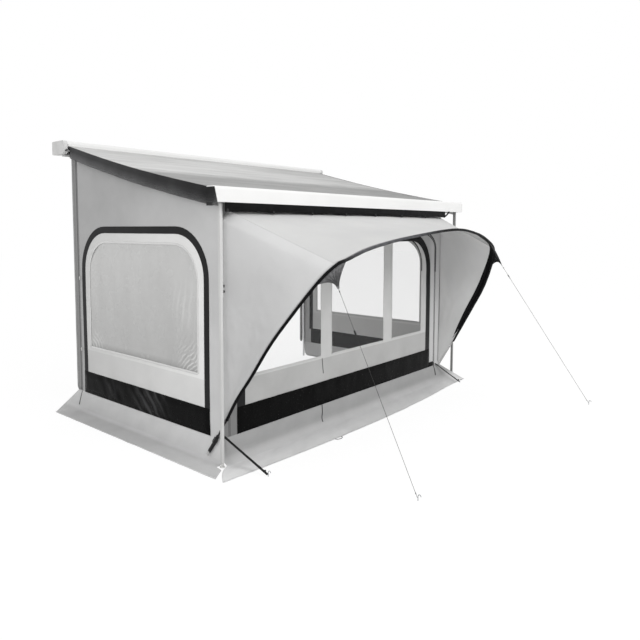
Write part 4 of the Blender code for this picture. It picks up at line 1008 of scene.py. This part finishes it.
for name, x, turn in (("right", 1.490, 1), ("left", -1.795, -1)):
    route = zip_route(x, turn)
    for half, shift in (("a", 0.0075), ("b", -0.0075)):
        extras.append(trim(f"front_zip_tape_{name}_{half}", aside(route, shift * 1.4), 0.010, 0.0016,
                           zip_tape, front, 0.0008))
        extras.append(zip_coil(f"front_zip_{name}_{half}", aside(route, shift), front, 0.0016, coil))
    if turn > 0:
        for half, shift in (("a", 0.0105), ("b", -0.0105)):
            extras.append(trim(f"zip_arc_cover_{half}", aside(route[85:], shift), 0.009, 0.0048, binding,
                               front, 0.001))
corner = [(0.78 + 0.077 * s / 4, window_high) for s in range(4)]
for angle in (math.pi * s / 32 for s in range(17)):
    corner.append((0.857 + window_round * math.sin(angle), 1.41 + window_round * math.cos(angle)))
corner += [(1.177, 1.385), (1.177, 1.365)]
tuck = [(-0.634 + 0.019 * s / 8, 0.645 - 0.145 * s / 8) for s in range(9)]
tab = [(1.372 + 0.098 * s / 6, 0.2365) for s in range(7)]
sewn_on = [(1.590 + 0.030 * s / 40, 0.24 + 1.60 * s / 40) for s in range(41)]
for name, path, width, lift, look, thickness in (("pane_lip", corner, 0.016, 0.0030, binding, 0.001),
                                                 ("panel_tuck", tuck, 0.010, 0.0020, seam, 0.001),
                                                 ("strip_tab", tab, 0.052, 0.0052, mud, 0.0015),
                                                 ("cheek_seam", sewn_on, 0.009, 0.0016, seam, 0.001)):
    extras.append(trim(name, path, width, lift, look, front, thickness))
declare(wall_front, ["front_wall"], "light_cloth")
belong("black_cloth", band, strip, lining)
belong("light_cloth", *extras, pane)
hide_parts("front_frame")
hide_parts("front_pane")

# Skirts: the wall cloth's lower edge, which hangs to the ground, turns outwards and lies
# there in shallow folds. Short zips let it part where the wall's own zips end.
def skirt_cloth(name):
    """Coated polyester that has lain on the ground: matt, paler, with many small creases."""
    made = surface(name, "#B4B4B4", 0.68, Specular_IOR_Level=0.3)
    tint(made, spots(made, 200, 5.0), "#BDBDBD", "#C6C6C6")
    bump(made, spots(made, 90, 3.0, (1.4, 0.7, 1)), 1.2)
    weave(made)
    return made


skirting = skirt_cloth("side skirt cloth, coated polyester, creased at the ground")
# Painted light: lighter where it hangs than where it lies on the ground.
shade_along(skirting, "Y", 0.165, 0.205, 1.24, 1.02)
# Painted light towards the front.
shade_along(skirting, "X", 0.9, 2.2, 0.97, 1.10)
front_skirting = skirt_cloth("front skirt cloth, coated polyester, soft and spread")
# Painted shade on the hanging part under the strip, painted light where it spreads out on the ground.
shade_along(front_skirting, "Y", 0.14, 0.26, 0.72, 1.36)
shade_along(front_skirting, "Y", 0.26, 0.44, 1.0, 1.16)
front_hemming = skirt_cloth("front skirt hem, doubled polyester cloth, painted lighter")
# Painted light: the hem is half as light again as the skirt.
shade_along(front_hemming, "Y", 0.0, 0.01, 1.5, 1.5)
skirt_top, skirt_fall, grounded = 0.2077, 0.2057, 0.002
side_reach, front_reach, side_bend, front_bend = 0.210, 0.320, 0.030, 0.085


def skirt_section(reach, v, radius):
    """How far out and how high a skirt lies, and what share of the hanging part is done."""
    hang, bend = skirt_fall - radius, radius * math.pi / 2
    done = v * (hang + bend + reach - radius)
    if done < hang:
        return 0.0, skirt_top - done, done / hang
    if done < hang + bend:
        angle = (done - hang) / radius
        return radius * (1 - math.cos(angle)), grounded + radius * (1 - math.sin(angle)), 1.0
    return radius + done - hang - bend, grounded, 1.0


def skirt_point(u, v, reach, length, seed, radius):
    """The skirt's own folds over its plain section."""
    spread, height, hung = skirt_section(reach, v, radius)
    fold = 0.5 + 0.5 * rumple(u * length, v * 0.4, 0.24, seed, 0.35)
    crease = 0.5 + 0.5 * rumple(u * length, v * 0.5, 0.08, seed + 3, 0.8)
    hanging = math.sin(math.pi * min(hung, 1)) if spread == 0 else 0.0
    lying = ease(spread, 0.02, 0.10)
    spread += hanging * (0.006 * fold + 0.0012 * crease)
    lying *= 1 - ease(spread / reach, 0.60, 0.98)
    return spread, height + lying * (0.0050 * fold + 0.0008 * crease)


def skirt_slope(spread, height, reach, v, share):
    """Towards its free end a skirt leaves its bend and slopes straight from wall to ground."""
    sloped = height + (skirt_top * (1 - v) - height) * share
    return spread + (reach * v - spread) * share, max(sloped, grounded)


def hem_of(name, place, columns, look):
    """The doubled hem along a skirt's free edge, a share of its width wide."""
    wide_share, on_top = 0.028, Vector((0, 0, 0.0019))
    return cloth(name, columns, 2, lambda u, v: place(u, 1 - wide_share * v) + on_top, [look], 0.0012)


def skirt_zip(name, place, share, reach, away, radius):
    """A short zip down the hanging part of a skirt, at a share of its length."""
    total = skirt_fall - radius + radius * math.pi / 2 + reach - radius

    def spot(a, b, lift=0.0):
        return place(share + a * 0.3, (0.2070 - b) / total) + Vector(away) * lift

    return zip_coil(name, [(0, 0.045), (0, 0.206)], spot, 0.0022, coil, 0.0058, 0.003)


for side, end in ((1, "left"), (-1, "right")):
    def side_skirt_place(u, v, side=side, x=wall_planes[end]):
        spread, height = skirt_point(u, v, side_reach, 2.2, 50.0 + side, side_bend)
        wobble = 0.004 * rumple(u * 2.2, 0.0, 0.18, 60.0 + side) * ease(v, 0.8, 1.0)
        to_front = room_front + 0.082 * ease(spread, 0.055, 0.075) + 0.62 * max(spread - 0.075, 0)
        spread, height = skirt_slope(spread, height, side_reach, v, max(1 - u / 0.06, 0) ** 2)
        to_rear = room_rear - 0.090 * v
        return at(x - side * (spread - 0.001 + wobble), to_rear + (to_front - to_rear) * u, height)

    skirt = cloth(f"skirt_{end}", 150, 34, side_skirt_place, [skirting])
    hem = hem_of(f"skirt_hem_{end}", side_skirt_place, 150, skirting)
    rear_zip = skirt_zip(f"skirt_zip_{end}", side_skirt_place, 0.032, side_reach, (-side, 0, 0), side_bend)
    declare(skirt, [f"side_skirt_{end}"], "grey_cloth", [hem, rear_zip])


def front_skirt_place(u, v):
    end_share = 0.80 if u < 0.5 else 0.64
    reach = front_reach * (1 - (1 - end_share) * (2 * u - 1) ** 2)
    spread, height = skirt_point(u, v, reach, 3.5, 55.0, front_bend)
    flare = max(spread - 0.060, 0) / (front_reach - 0.060)
    left = -1.871 - 0.263 * flare ** 0.62
    free = max((u - 0.93) / 0.07, 0) ** 2
    spread, height = skirt_slope(spread, height, reach, v, free)
    right = 1.613 + 0.275 * v * free
    spread += 0.006 * ease(u, 0.985, 1.0)
    wobble = 0.005 * rumple(u * 3.5, 0.0, 0.20, 61.0) * ease(v, 0.8, 1.0)
    return at(left + (right - left) * u, 2.367 + spread + wobble, height)


skirt = cloth("skirt_front", 220, 44, front_skirt_place, [front_skirting])
hem = hem_of("skirt_hem_front", front_skirt_place, 220, front_hemming)
loop_at = front_skirt_place(0.355, 0.985)
loop_path = [loop_at + Vector((0.045 * math.cos(a), -0.014 - 0.030 * math.sin(a), 0.006)) for a in
             [math.pi * s / 12 for s in range(13)]]
loop = tube("skirt_peg_loop", loop_path, 0.0028, coated)
front_zips = [skirt_zip(f"front_skirt_zip_{index + 1}", front_skirt_place, share, 0.30, (0, -1, 0),
                        front_bend) for index, share in enumerate((0.3548, 0.9647))]
declare(skirt, ["front_skirt"], "grey_cloth", [hem, loop, *front_zips])

# Sun canopy: one sheet of the pale cloth, sewn to the front wall and shaped by the arch pole
# into a left cheek, a top and a right cheek, with a taped seam between them.
def canopy_cloth(name, dark, light):
    """Coated polyester again, but paler and with small, sharp creases from folding."""
    made = surface(name, light, 0.62, Specular_IOR_Level=0.3)
    tint(made, spots(made, 500, 5.0), dark, light)
    bump(made, spots(made, 60, 4.0), 0.6)
    weave(made)
    return made


canopying = canopy_cloth("canopy top, coated polyester, pale grey", "#CFCFCF", "#D6D6D5")
# Painted shade on the top, towards the left and towards the arch.
shade(canopying, axis(canopying, "X"), -1.30, -0.10, 0.94, 1.0)
shade(canopying, axis(canopying, "Y"), -0.75, -1.40, 1.04, 0.94)
# The left cheek is the top's own cloth, copied darker as painted shade.
left_cheek = canopy_cloth("canopy left cheek, the pale canopy cloth in painted shade", "#C1C1C1", "#C9C9C9")
# Painted light towards the cheek's top and towards the arch.
shade(left_cheek, axis(left_cheek, "Z"), 1.40, 1.78, 1.0, 1.13)
shade(left_cheek, axis(left_cheek, "Y"), -0.75, -1.45, 0.96, 1.10)
# The right cheek is the same cloth, with painted shade towards its foot and painted light towards its top.
right_cheek = canopy_cloth("canopy cheek, coated polyester, seen from its inner side", "#CFCFCF", "#D6D6D5")
shade(right_cheek, axis(right_cheek, "Z"), 0.75, 1.85, 0.80, 1.60)
# The arch pole's route, each place as a share of the pole's half span, reach and height.
route_shares = ((-1.000, 0.030, 0.194), (-0.971, 0.099, 0.285), (-0.942, 0.218, 0.389), (-0.923, 0.382, 0.521),
                (-0.891, 0.515, 0.625), (-0.824, 0.726, 0.787), (-0.761, 0.817, 0.859), (-0.700, 0.847, 0.881),
                (-0.570, 0.902, 0.924), (-0.313, 0.957, 0.966), (0.074, 1.000, 1.000), (0.342, 0.974, 0.980),
                (0.546, 0.922, 0.940), (0.714, 0.853, 0.886), (0.830, 0.733, 0.794), (0.942, 0.526, 0.633),
                (0.986, 0.347, 0.494), (0.996, 0.078, 0.253))
half_span, arch_reach, arch_height, arch_steps = 1.849, 0.926, 1.841, 12
arch = catmull([at(x * half_span, room_front + out * arch_reach, up * arch_height)
                for x, out, up in route_shares], arch_steps)
first_corner, last_corner = 6 * arch_steps, 13 * arch_steps


def run_shares(line):
    """How far along a line each of its points lies, as a share."""
    lengths = [0.0]
    for before, after in zip(line, line[1:]):
        lengths.append(lengths[-1] + (after - before).length)
    return [length / lengths[-1] for length in lengths]


def pick(line, share):
    """The point at a share of a line's length."""
    shares = run_shares(line)
    for index in range(len(line) - 1):
        if share <= shares[index + 1]:
            part = (share - shares[index]) / max(shares[index + 1] - shares[index], 1e-9)
            return line[index].lerp(line[index + 1], part)
    return line[-1].copy()


def beside(point, heading, target):
    """Just off the sleeve, square to it, on the side that faces target."""
    pull = target - point
    pull -= heading * pull.dot(heading) / heading.length_squared
    sleeve_edge = 0.0118
    return point + pull.normalized() * sleeve_edge


def arch_heading(index):
    return arch[min(index + 1, len(arch) - 1)] - arch[max(index - 1, 0)]


seam_out, seam_high = 2.3698, 1.988
corners = (
    ([at(-1.859, seam_out, 0.355), at(-1.859, seam_out, 1.915), at(-1.794, seam_out, seam_high)],
     0, first_corner, (1, 0, 0)),
    ([at(-1.794, seam_out, seam_high), at(1.544, seam_out, seam_high)],
     first_corner, last_corner, (0, 0, -1)),
    ([at(1.544, seam_out, seam_high), at(1.609, seam_out, 1.915), at(1.609, seam_out, 0.215)],
     last_corner, len(arch) - 1, (-1, 0, 0)))
ribs = {}
for wall_line, first, last, pull in corners:
    for index, share in zip(range(first, last + 1), run_shares(arch[first:last + 1])):
        start = pick(wall_line, share)
        ribs[index] = (start, beside(arch[index], arch_heading(index), start), Vector(pull), share)


def canopy_place(u, v):
    index = round(u * (len(arch) - 1))
    start, stop, pull, share = ribs[index]
    across, along = math.sin(math.pi * share), math.sin(math.pi * v)
    creases = 0.006 * rumple(index * 0.035, v * 1.1, 0.30, 71.0, 0.7)
    creases += 0.0018 * rumple(index * 0.035, v, 0.08, 72.0, 0.6)
    return start.lerp(stop, v) + pull * (0.030 * across * along + creases * min(across * along * 2, 1))


def rib_at(u, first, last):
    """The rib at a share of the way between two of them, with its start, stop and pull."""
    index = round(first + u * (last - first))
    return index, *ribs[index][:3]


canopy = cloth("canopy_sheet", len(arch) - 1, 36, canopy_place, [left_cheek, canopying, right_cheek], 0.002,
               lambda c: 0 if c < first_corner else 1 if c < last_corner else 2)
sewn = []
for name, index in (("left", first_corner), ("right", last_corner)):
    line = [canopy_place(index / (len(arch) - 1), 0.01 + 0.97 * s / 30) + Vector((0, 0, 0.0016))
            for s in range(31)]
    sewn.append(tube(f"canopy_seam_{name}", line, 0.0022, canopying))

# The sleeve: a black cloth pocket round the pole, sewn to the canopy's edge, which shows as a
# band on its inner side.

# Webbing cloth is matt and coarse; over the top of the arch a painted sheen turns it grey.
sleeving = surface("pole sleeve, black polyester webbing cloth", "#121213", 0.6, Specular_IOR_Level=0.06)
tint(sleeving, spots(sleeving, 45, 4.0), "#0C0C0D", "#171718")
bump(sleeving, spots(sleeving, 16, 3.0, (1.4, 0.6, 1)), 0.8)
weave(sleeving, 1.6, 0.15)
sleeve_look = sleeving.copy()
sleeve_look.name = "pole sleeve, black polyester webbing cloth, greyed over the top"
# Painted sheen: the sleeve is grey over the top of the arch.
shade_along(sleeve_look, "X", 1.55, 1.80, 1.0, 14.0)
shade_along(sleeve_look, "X", 2.45, 2.90, 1.0, 0.12)
sleeve = tube("pole_sleeve", arch, lambda share: 0.0112 + 0.0004 * math.sin(share * 260)
              + 0.0070 * ease(share, 0.80, 0.88), sleeve_look, 16, ends=False)
thicken(sleeve, 0.0012)
pocket_first = 74


def pocket_place(u, v):
    index, start, stop, pull = rib_at(u, pocket_first, len(arch) - 1)
    length = (stop - start).length
    square = max(arch_heading(index).normalized().cross(stop - start).length / length, 0.45)
    wide = 0.004 + 0.042 / square * ease(index, 84, 130)
    t = 1 - (0.001 + wide * v) / max(length, 0.08)
    return canopy_place(index / (len(arch) - 1), max(t, 0.05)) + pull * 0.0017


def edge_band_place(u, v):
    index, start, stop, pull = rib_at(u, pocket_first, pocket_first + 80)
    wide = 0.002 + 0.014 * ease(u, 0.0, 0.4) * ease(1 - u, 0.0, 0.25)
    t = 1 - (0.001 + wide * v) / (stop - start).length
    return canopy_place(index / (len(arch) - 1), t) - pull * 0.0022


pocket = cloth("pole_pocket", len(arch) - 1 - pocket_first, 4, pocket_place, [sleeving], 0.0012)
band_look = surface("edge band, dark grey polyester", "#6C6C6D", 0.65, Specular_IOR_Level=0.3)
tint(band_look, spots(band_look, 60, 4.0), "#767677", "#8C8C8C")
weave(band_look, 1.4, 0.12)
edge_band = cloth("canopy_edge_band", 80, 4, edge_band_place, [band_look], 0.0012)
belong("black_cloth", sleeve, pocket, edge_band)
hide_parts("arch_sleeve")
declare(canopy, ["canopy"], "light_cloth", sewn)
arch_length = sum((b - a).length for a, b in zip(arch, arch[1:]))

# Gussets: dark cloth gathered in pleats from a stretch of the sleeve to the eyelet that the
# guy line pulls on.

# Thin polyester, grey on the left and black on the right, with its weave in sight.
pleated = {}
for end, dark, light in (("left", "#4E4E4F", "#747475"), ("right", "#151516", "#262627")):
    pleated[end] = surface(f"corner gusset, {end}, pleated polyester", light, 0.6, Specular_IOR_Level=0.25)
    tint(pleated[end], spots(pleated[end], 30, 4.0), dark, light)
    weave(pleated[end], 1.2, 0.12)
# Zinc plate is a dull, blotchy metal with fine scratches along it.
zinc = surface("steel, zinc-plated, dull and a little scratched", "#A9ABAD", 0.34, Metallic=1.0)
tint(zinc, grain(zinc, 14), "#989A9C", "#B6B8BA")
wear(zinc, grain(zinc, 5, (1, 1, 0.2)), 0.26, 0.48)
gathers = {"left": (1.315, 1.605, 2.2, 1.5), "right": (4.06, 4.63, 1.0, 2.0)}
for end, (low, high, bow_first, bow_last) in gathers.items():
    start, stop = (at(*place) for place in guys[end][:2])
    heading = (stop - start).normalized()
    tip = start - heading * 0.0006
    centre, half = (low + high) / 2 / arch_length, (high - low) / 2 / arch_length
    line = pick(arch, centre + half) - pick(arch, centre - half)
    across = (line - heading * line.dot(heading)).normalized()
    face = across.cross(heading).normalized()

    def gusset_edge(u, centre=centre, half=half, tip=tip):
        share = centre + half * (2 * u - 1)
        tangent = pick(arch, share + half / 4) - pick(arch, share - half / 4)
        return beside(pick(arch, share), tangent, tip)

    middle = gusset_edge(0.5)

    def gusset_place(u, v, tip=tip, across=across, face=face, first=bow_first, last=bow_last, middle=middle):
        narrow = (1 - v) ** (first + (last - first) * u)
        deep = 0.0055 * max(math.sin(math.pi * min(v * 1.1, 1)), 0) ** 0.7
        spread = (gusset_edge(u) - middle) * narrow + across * 0.018 * (u - 0.5) * v
        return middle.lerp(tip, v) + spread + face * deep * math.sin(u * math.pi * 14)

    made = cloth(f"gusset_cloth_{end}", 56, 14, gusset_place, [pleated[end]], 0.0012)
    eyelet = primitive(bpy.ops.mesh.primitive_torus_add, major_segments=32, minor_segments=10,
                       major_radius=0.0052, minor_radius=0.0012)
    eyelet = settle(eyelet, f"gusset_eyelet_{end}", zinc, turn=way(face),
                    place=tip - heading * 0.010 + face * 0.0008)
    declare(made, [f"gusset_{end}"], "black_cloth", [eyelet])

# Corner straps and pegs: black webbing from the front wall's lower corners to the pegs, and
# thin straps that pull the ends of the arch pole down to the wall's corners.

# Polypropylene webbing is ribbed and slightly waxy; the thin tape is dull and pale.
webbing = surface("webbing strap, black polypropylene", "#141415", 0.62, Specular_IOR_Level=0.3)
bump(webbing, bands(webbing, 1.6, 0.5), 0.25)
bump(webbing, bands(webbing, 2.4, math.pi / 2), 0.2)
light_strap = surface("thin strap, pale grey polyester tape", "#BDBDBC", 0.6, Specular_IOR_Level=0.3)
weave(light_strap, 1.0, 0.1)


def strap(name, path, width, across, look, thickness=0.0016):
    """A flat strap along a path, its width lying along across."""
    line = spaced(path, 24)
    side = Vector(across).normalized() * width
    return cloth(name, 23, 2, lambda u, v: line[round(u * 23)] + side * (v - 0.5), [look], thickness)


for end, x, sideways, reach in (("left", -1.854, 0.066, 0.416), ("right", 1.531, 0.150, 0.250)):
    start, stop = at(x, 2.369, 0.226), at(x + sideways, 2.368 + reach, 0.0125)
    run = (stop - start).normalized()
    lift = run.cross(Vector((1, 0, 0))).normalized()
    lift = lift if lift.z > 0 else -lift
    band = strap(f"corner_webbing_{end}", [start, stop], 0.024, (1, 0, 0), webbing)
    sewn = []
    for share in (0.10, 0.80):
        def fold_place(u, v, middle=start.lerp(stop, share), run=run, lift=lift):
            return middle + lift * 0.0024 + run * 0.020 * (v - 0.5) + Vector((0.023 * (u - 0.5), 0, 0))

        sewn.append(cloth(f"webbing_fold_{end}_{round(share * 100)}", 2, 8, fold_place, [webbing], 0.0014))
    bead = primitive(bpy.ops.mesh.primitive_uv_sphere_add, segments=20, ring_count=12, radius=0.009)
    bead = settle(bead, f"strap_bead_{end}", moulded, turn=way(run),
                  place=start.lerp(stop, 0.93) + lift * 0.0105)
    declare(band, [f"corner_strap_{end}"], "black_cloth", [*sewn, bead])

hook_from, hook_to = at(-1.8900, 2.3420, 0.232), at(-1.8990, 2.2400, 0.082)
slant = (0, 0.83, 0.56)
pull = strap("arch_strap_left", [at(-1.8560, 2.3930, 0.348), at(-1.8870, 2.3740, 0.290), hook_from], 0.016,
             (0, 1, 0.5), webbing, 0.0014)
tail = strap("arch_webbing_left", [hook_from, hook_to], 0.032, slant, webbing)
tip = strap("arch_strap_tip_left", [hook_to, at(-1.9005, 2.2200, 0.052)], 0.026, slant, light_strap)


def plate(size):
    """A flat block of a size, its scale applied, to be shaped further."""
    made = primitive(bpy.ops.mesh.primitive_cube_add, size=1, scale=size)
    bpy.ops.object.transform_apply(location=False, rotation=False, scale=True)
    return made


buckle = plate((0.044, 0.052, 0.004))
shape(buckle, lambda f: abs(f.normal.z) > 0.9, inset(0.006), lambda: bpy.ops.mesh.delete(type="FACE"))
shape(buckle, lambda f: True, lambda: bpy.ops.mesh.select_mode(type="EDGE"),
      lambda: bpy.ops.mesh.select_all(action="DESELECT"),
      lambda: bpy.ops.mesh.select_non_manifold(), lambda: bpy.ops.mesh.bridge_edge_loops())
run, outward = (hook_to - hook_from).normalized(), Vector((-1, 0, 0))
turn = Matrix((run.cross(outward), run, outward)).transposed().to_4x4()
buckle = settle(buckle, "arch_buckle_left", moulded, 0.001, 2, turn,
                hook_from.lerp(hook_to, 0.30) + outward * 0.0042)
belong("black_cloth", pull, tail)
belong("light_cloth", tip)
belong("black_plastic", buckle)
for index, (top, low) in enumerate((((1.838, 2.448, 0.462), (1.604, 2.3735, 0.205)),
                                    ((1.846, 2.438, 0.452), (1.612, 2.3735, 0.190)))):
    pull = strap(f"arch_strap_right_{index + 1}", [at(*top), at(*low)], 0.010, (0, 1, 0), light_strap, 0.0012)
    belong("light_cloth", pull)

# Leg hooks: a bent hook of moulded nylon on each leg's inner side, above the clamp knob,
# with its flat plate screwed to the tube.
for side, end in ((-1, "left"), (1, "right")):
    hook = plate((0.004, 0.012, 0.022))
    shape(hook, lambda f: f.normal.x * side < -0.9, extrude(-side * 0.004, 0, 0))
    shape(hook, lambda f: f.normal.x * side < -0.9 and f.center.x * side < -0.004,
          lambda: bpy.ops.transform.resize(value=(1, 0.6, 0.28), center_override=(0, 0, 0.006)),
          extrude(-side * 0.014, 0, 0))
    shape(hook, lambda f: f.normal.z < -0.9 and f.center.x * side < -0.012, extrude(0, 0, -0.014))
    hook = settle(hook, f"leg_hook_{end}", moulded, 0.0009, 2, None, at(side * 1.8825, 2.400, 1.416))
    belong("black_plastic", hook)

# Foam pads: soft foam in a sleeve of brushed polyester, one at each rear edge of the room,
# pressed against the vehicle's side. The brushed cloth has a faint nap.
padding = surface("pad cover, brushed polyester over foam, grey", "#9B9B9B", 0.85, Sheen_Weight=0.25)
tint(padding, grain(padding, 80), "#929292", "#A6A6A6")
bump(padding, grain(padding, 3), 0.3)
for end in ("left", "right"):
    low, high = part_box(f"foam_pad_{end}")
    middle, half = (low + high) / 2, (high - low) / 2
    verts, rings, sides = [], 90, 20
    for ring in range(rings + 1):
        share = ring / rings
        shrink = 1 - 0.5 * math.exp(-min(share, 1 - share) * 260)
        for side in range(sides):
            angle = 2 * math.pi * side / sides
            a, b = (math.copysign(abs(f(angle)) ** 0.45, f(angle)) for f in (math.cos, math.sin))
            swell = 0.94 + 0.05 * noise.noise(Vector((0, side * 0.4, share * 9)))
            verts.append((middle.x + half.x * a * shrink * swell, middle.y + half.y * b * shrink * swell,
                          low.z + (high.z - low.z) * share))
    faces = ring_faces(rings, sides) + end_faces(len(verts), sides)
    pad = collect(f"pad_{end}", verts, faces, [padding], smooth=60)
    belong("foam", pad)
    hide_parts(f"foam_pad_{end}")

# Metal, moulded and glass-fibre parts: cassette, rail, arms, legs, poles and small fittings.
# They keep the solids of the part's source, each with the finish of the real one but the right leg, which
# is painted in shade: powder coat with a fine orange peel, satin plastic, drawn and anodised tube, painted
# castings.
powder = surface("extruded aluminium, powder-coated white, fine orange peel", "#F0F0EF", 0.34,
                 Coat_Weight=0.1)
tint(powder, grain(powder, 700, detail=4.0), "#ECECEB", "#F4F4F3")
wear(powder, grain(powder, 60), 0.30, 0.40)
bump(powder, grain(powder, 2.2, detail=2.0), 0.02)
cap_plastic = surface("moulded ASA, light grey, satin", "#D4D4D3", 0.42)
tint(cap_plastic, grain(cap_plastic, 90), "#CFCFCE", "#DADAD9")
bump(cap_plastic, grain(cap_plastic, 0.8, detail=2.0), 0.015)
white_plastic = surface("moulded ASA, white, satin", "#ECECEB", 0.38)
tint(white_plastic, grain(white_plastic, 70), "#E8E8E7", "#F0F0EF")
bump(white_plastic, grain(white_plastic, 0.8, detail=2.0), 0.015)
tubing = surface("aluminium tube, anodised silver, drawn lines along it", "#C9CACB", 0.32, Metallic=0.85)
tint(tubing, grain(tubing, 12, (1, 1, 0.02), 3.0), "#BFC0C1", "#D3D4D5")
wear(tubing, grain(tubing, 9, (1, 1, 0.05)), 0.26, 0.42)
leg_white = surface("leg tube, aluminium, powder-coated pale grey", "#E2E2E1", 0.36)
tint(leg_white, grain(leg_white, 160, (1, 1, 0.4)), "#CACAC9", "#D6D6D5")
bump(leg_white, grain(leg_white, 1.8, detail=2.0), 0.02)
# The right leg is the left leg's tube, painted dark grey as shade.
leg_shaded = surface("leg tube, aluminium, painted shade on the right leg", "#858584", 0.4)
tint(leg_shaded, grain(leg_shaded, 160, (1, 1, 0.4)), "#7C7C7B", "#8E8E8D")
casting = surface("arm casting, aluminium, painted light grey", "#C4C4C3", 0.40)
tint(casting, grain(casting, 50), "#BDBDBC", "#CBCBCA")
bump(casting, grain(casting, 1.6), 0.04)
glass_fibre = surface("arch pole, glass fibre, black", "#121213", 0.35, Specular_IOR_Level=0.4)
bump(glass_fibre, grain(glass_fibre, 3, detail=2.0), 0.05)

finishes = ((powder, ("cassette_housing", "lead_rail")), (cap_plastic, ("cassette_cap",)),
            (white_plastic, ("rail_cap",)), (tubing, ("roller", "rafter", "rear_pole")),
            (leg_white, ("outer_leg_left", "inner_leg_left")),
            (leg_shaded, ("outer_leg_right", "inner_leg_right")),
            (moulded, ("winding_eye", "leg_knob", "guy_runner", "zip_slider")), (nylon, ("foot",)),
            (casting, ("shoulder", "inner_arm", "outer_arm")), (glass_fibre, ("arch_pole",)),
            (zinc, ("guy_peg", "corner_peg")))
for name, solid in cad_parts.items():
    for look, starts in finishes:
        if name.startswith(starts):
            solid.data.materials.clear()
            solid.data.materials.append(look)
            soften(solid, 32)
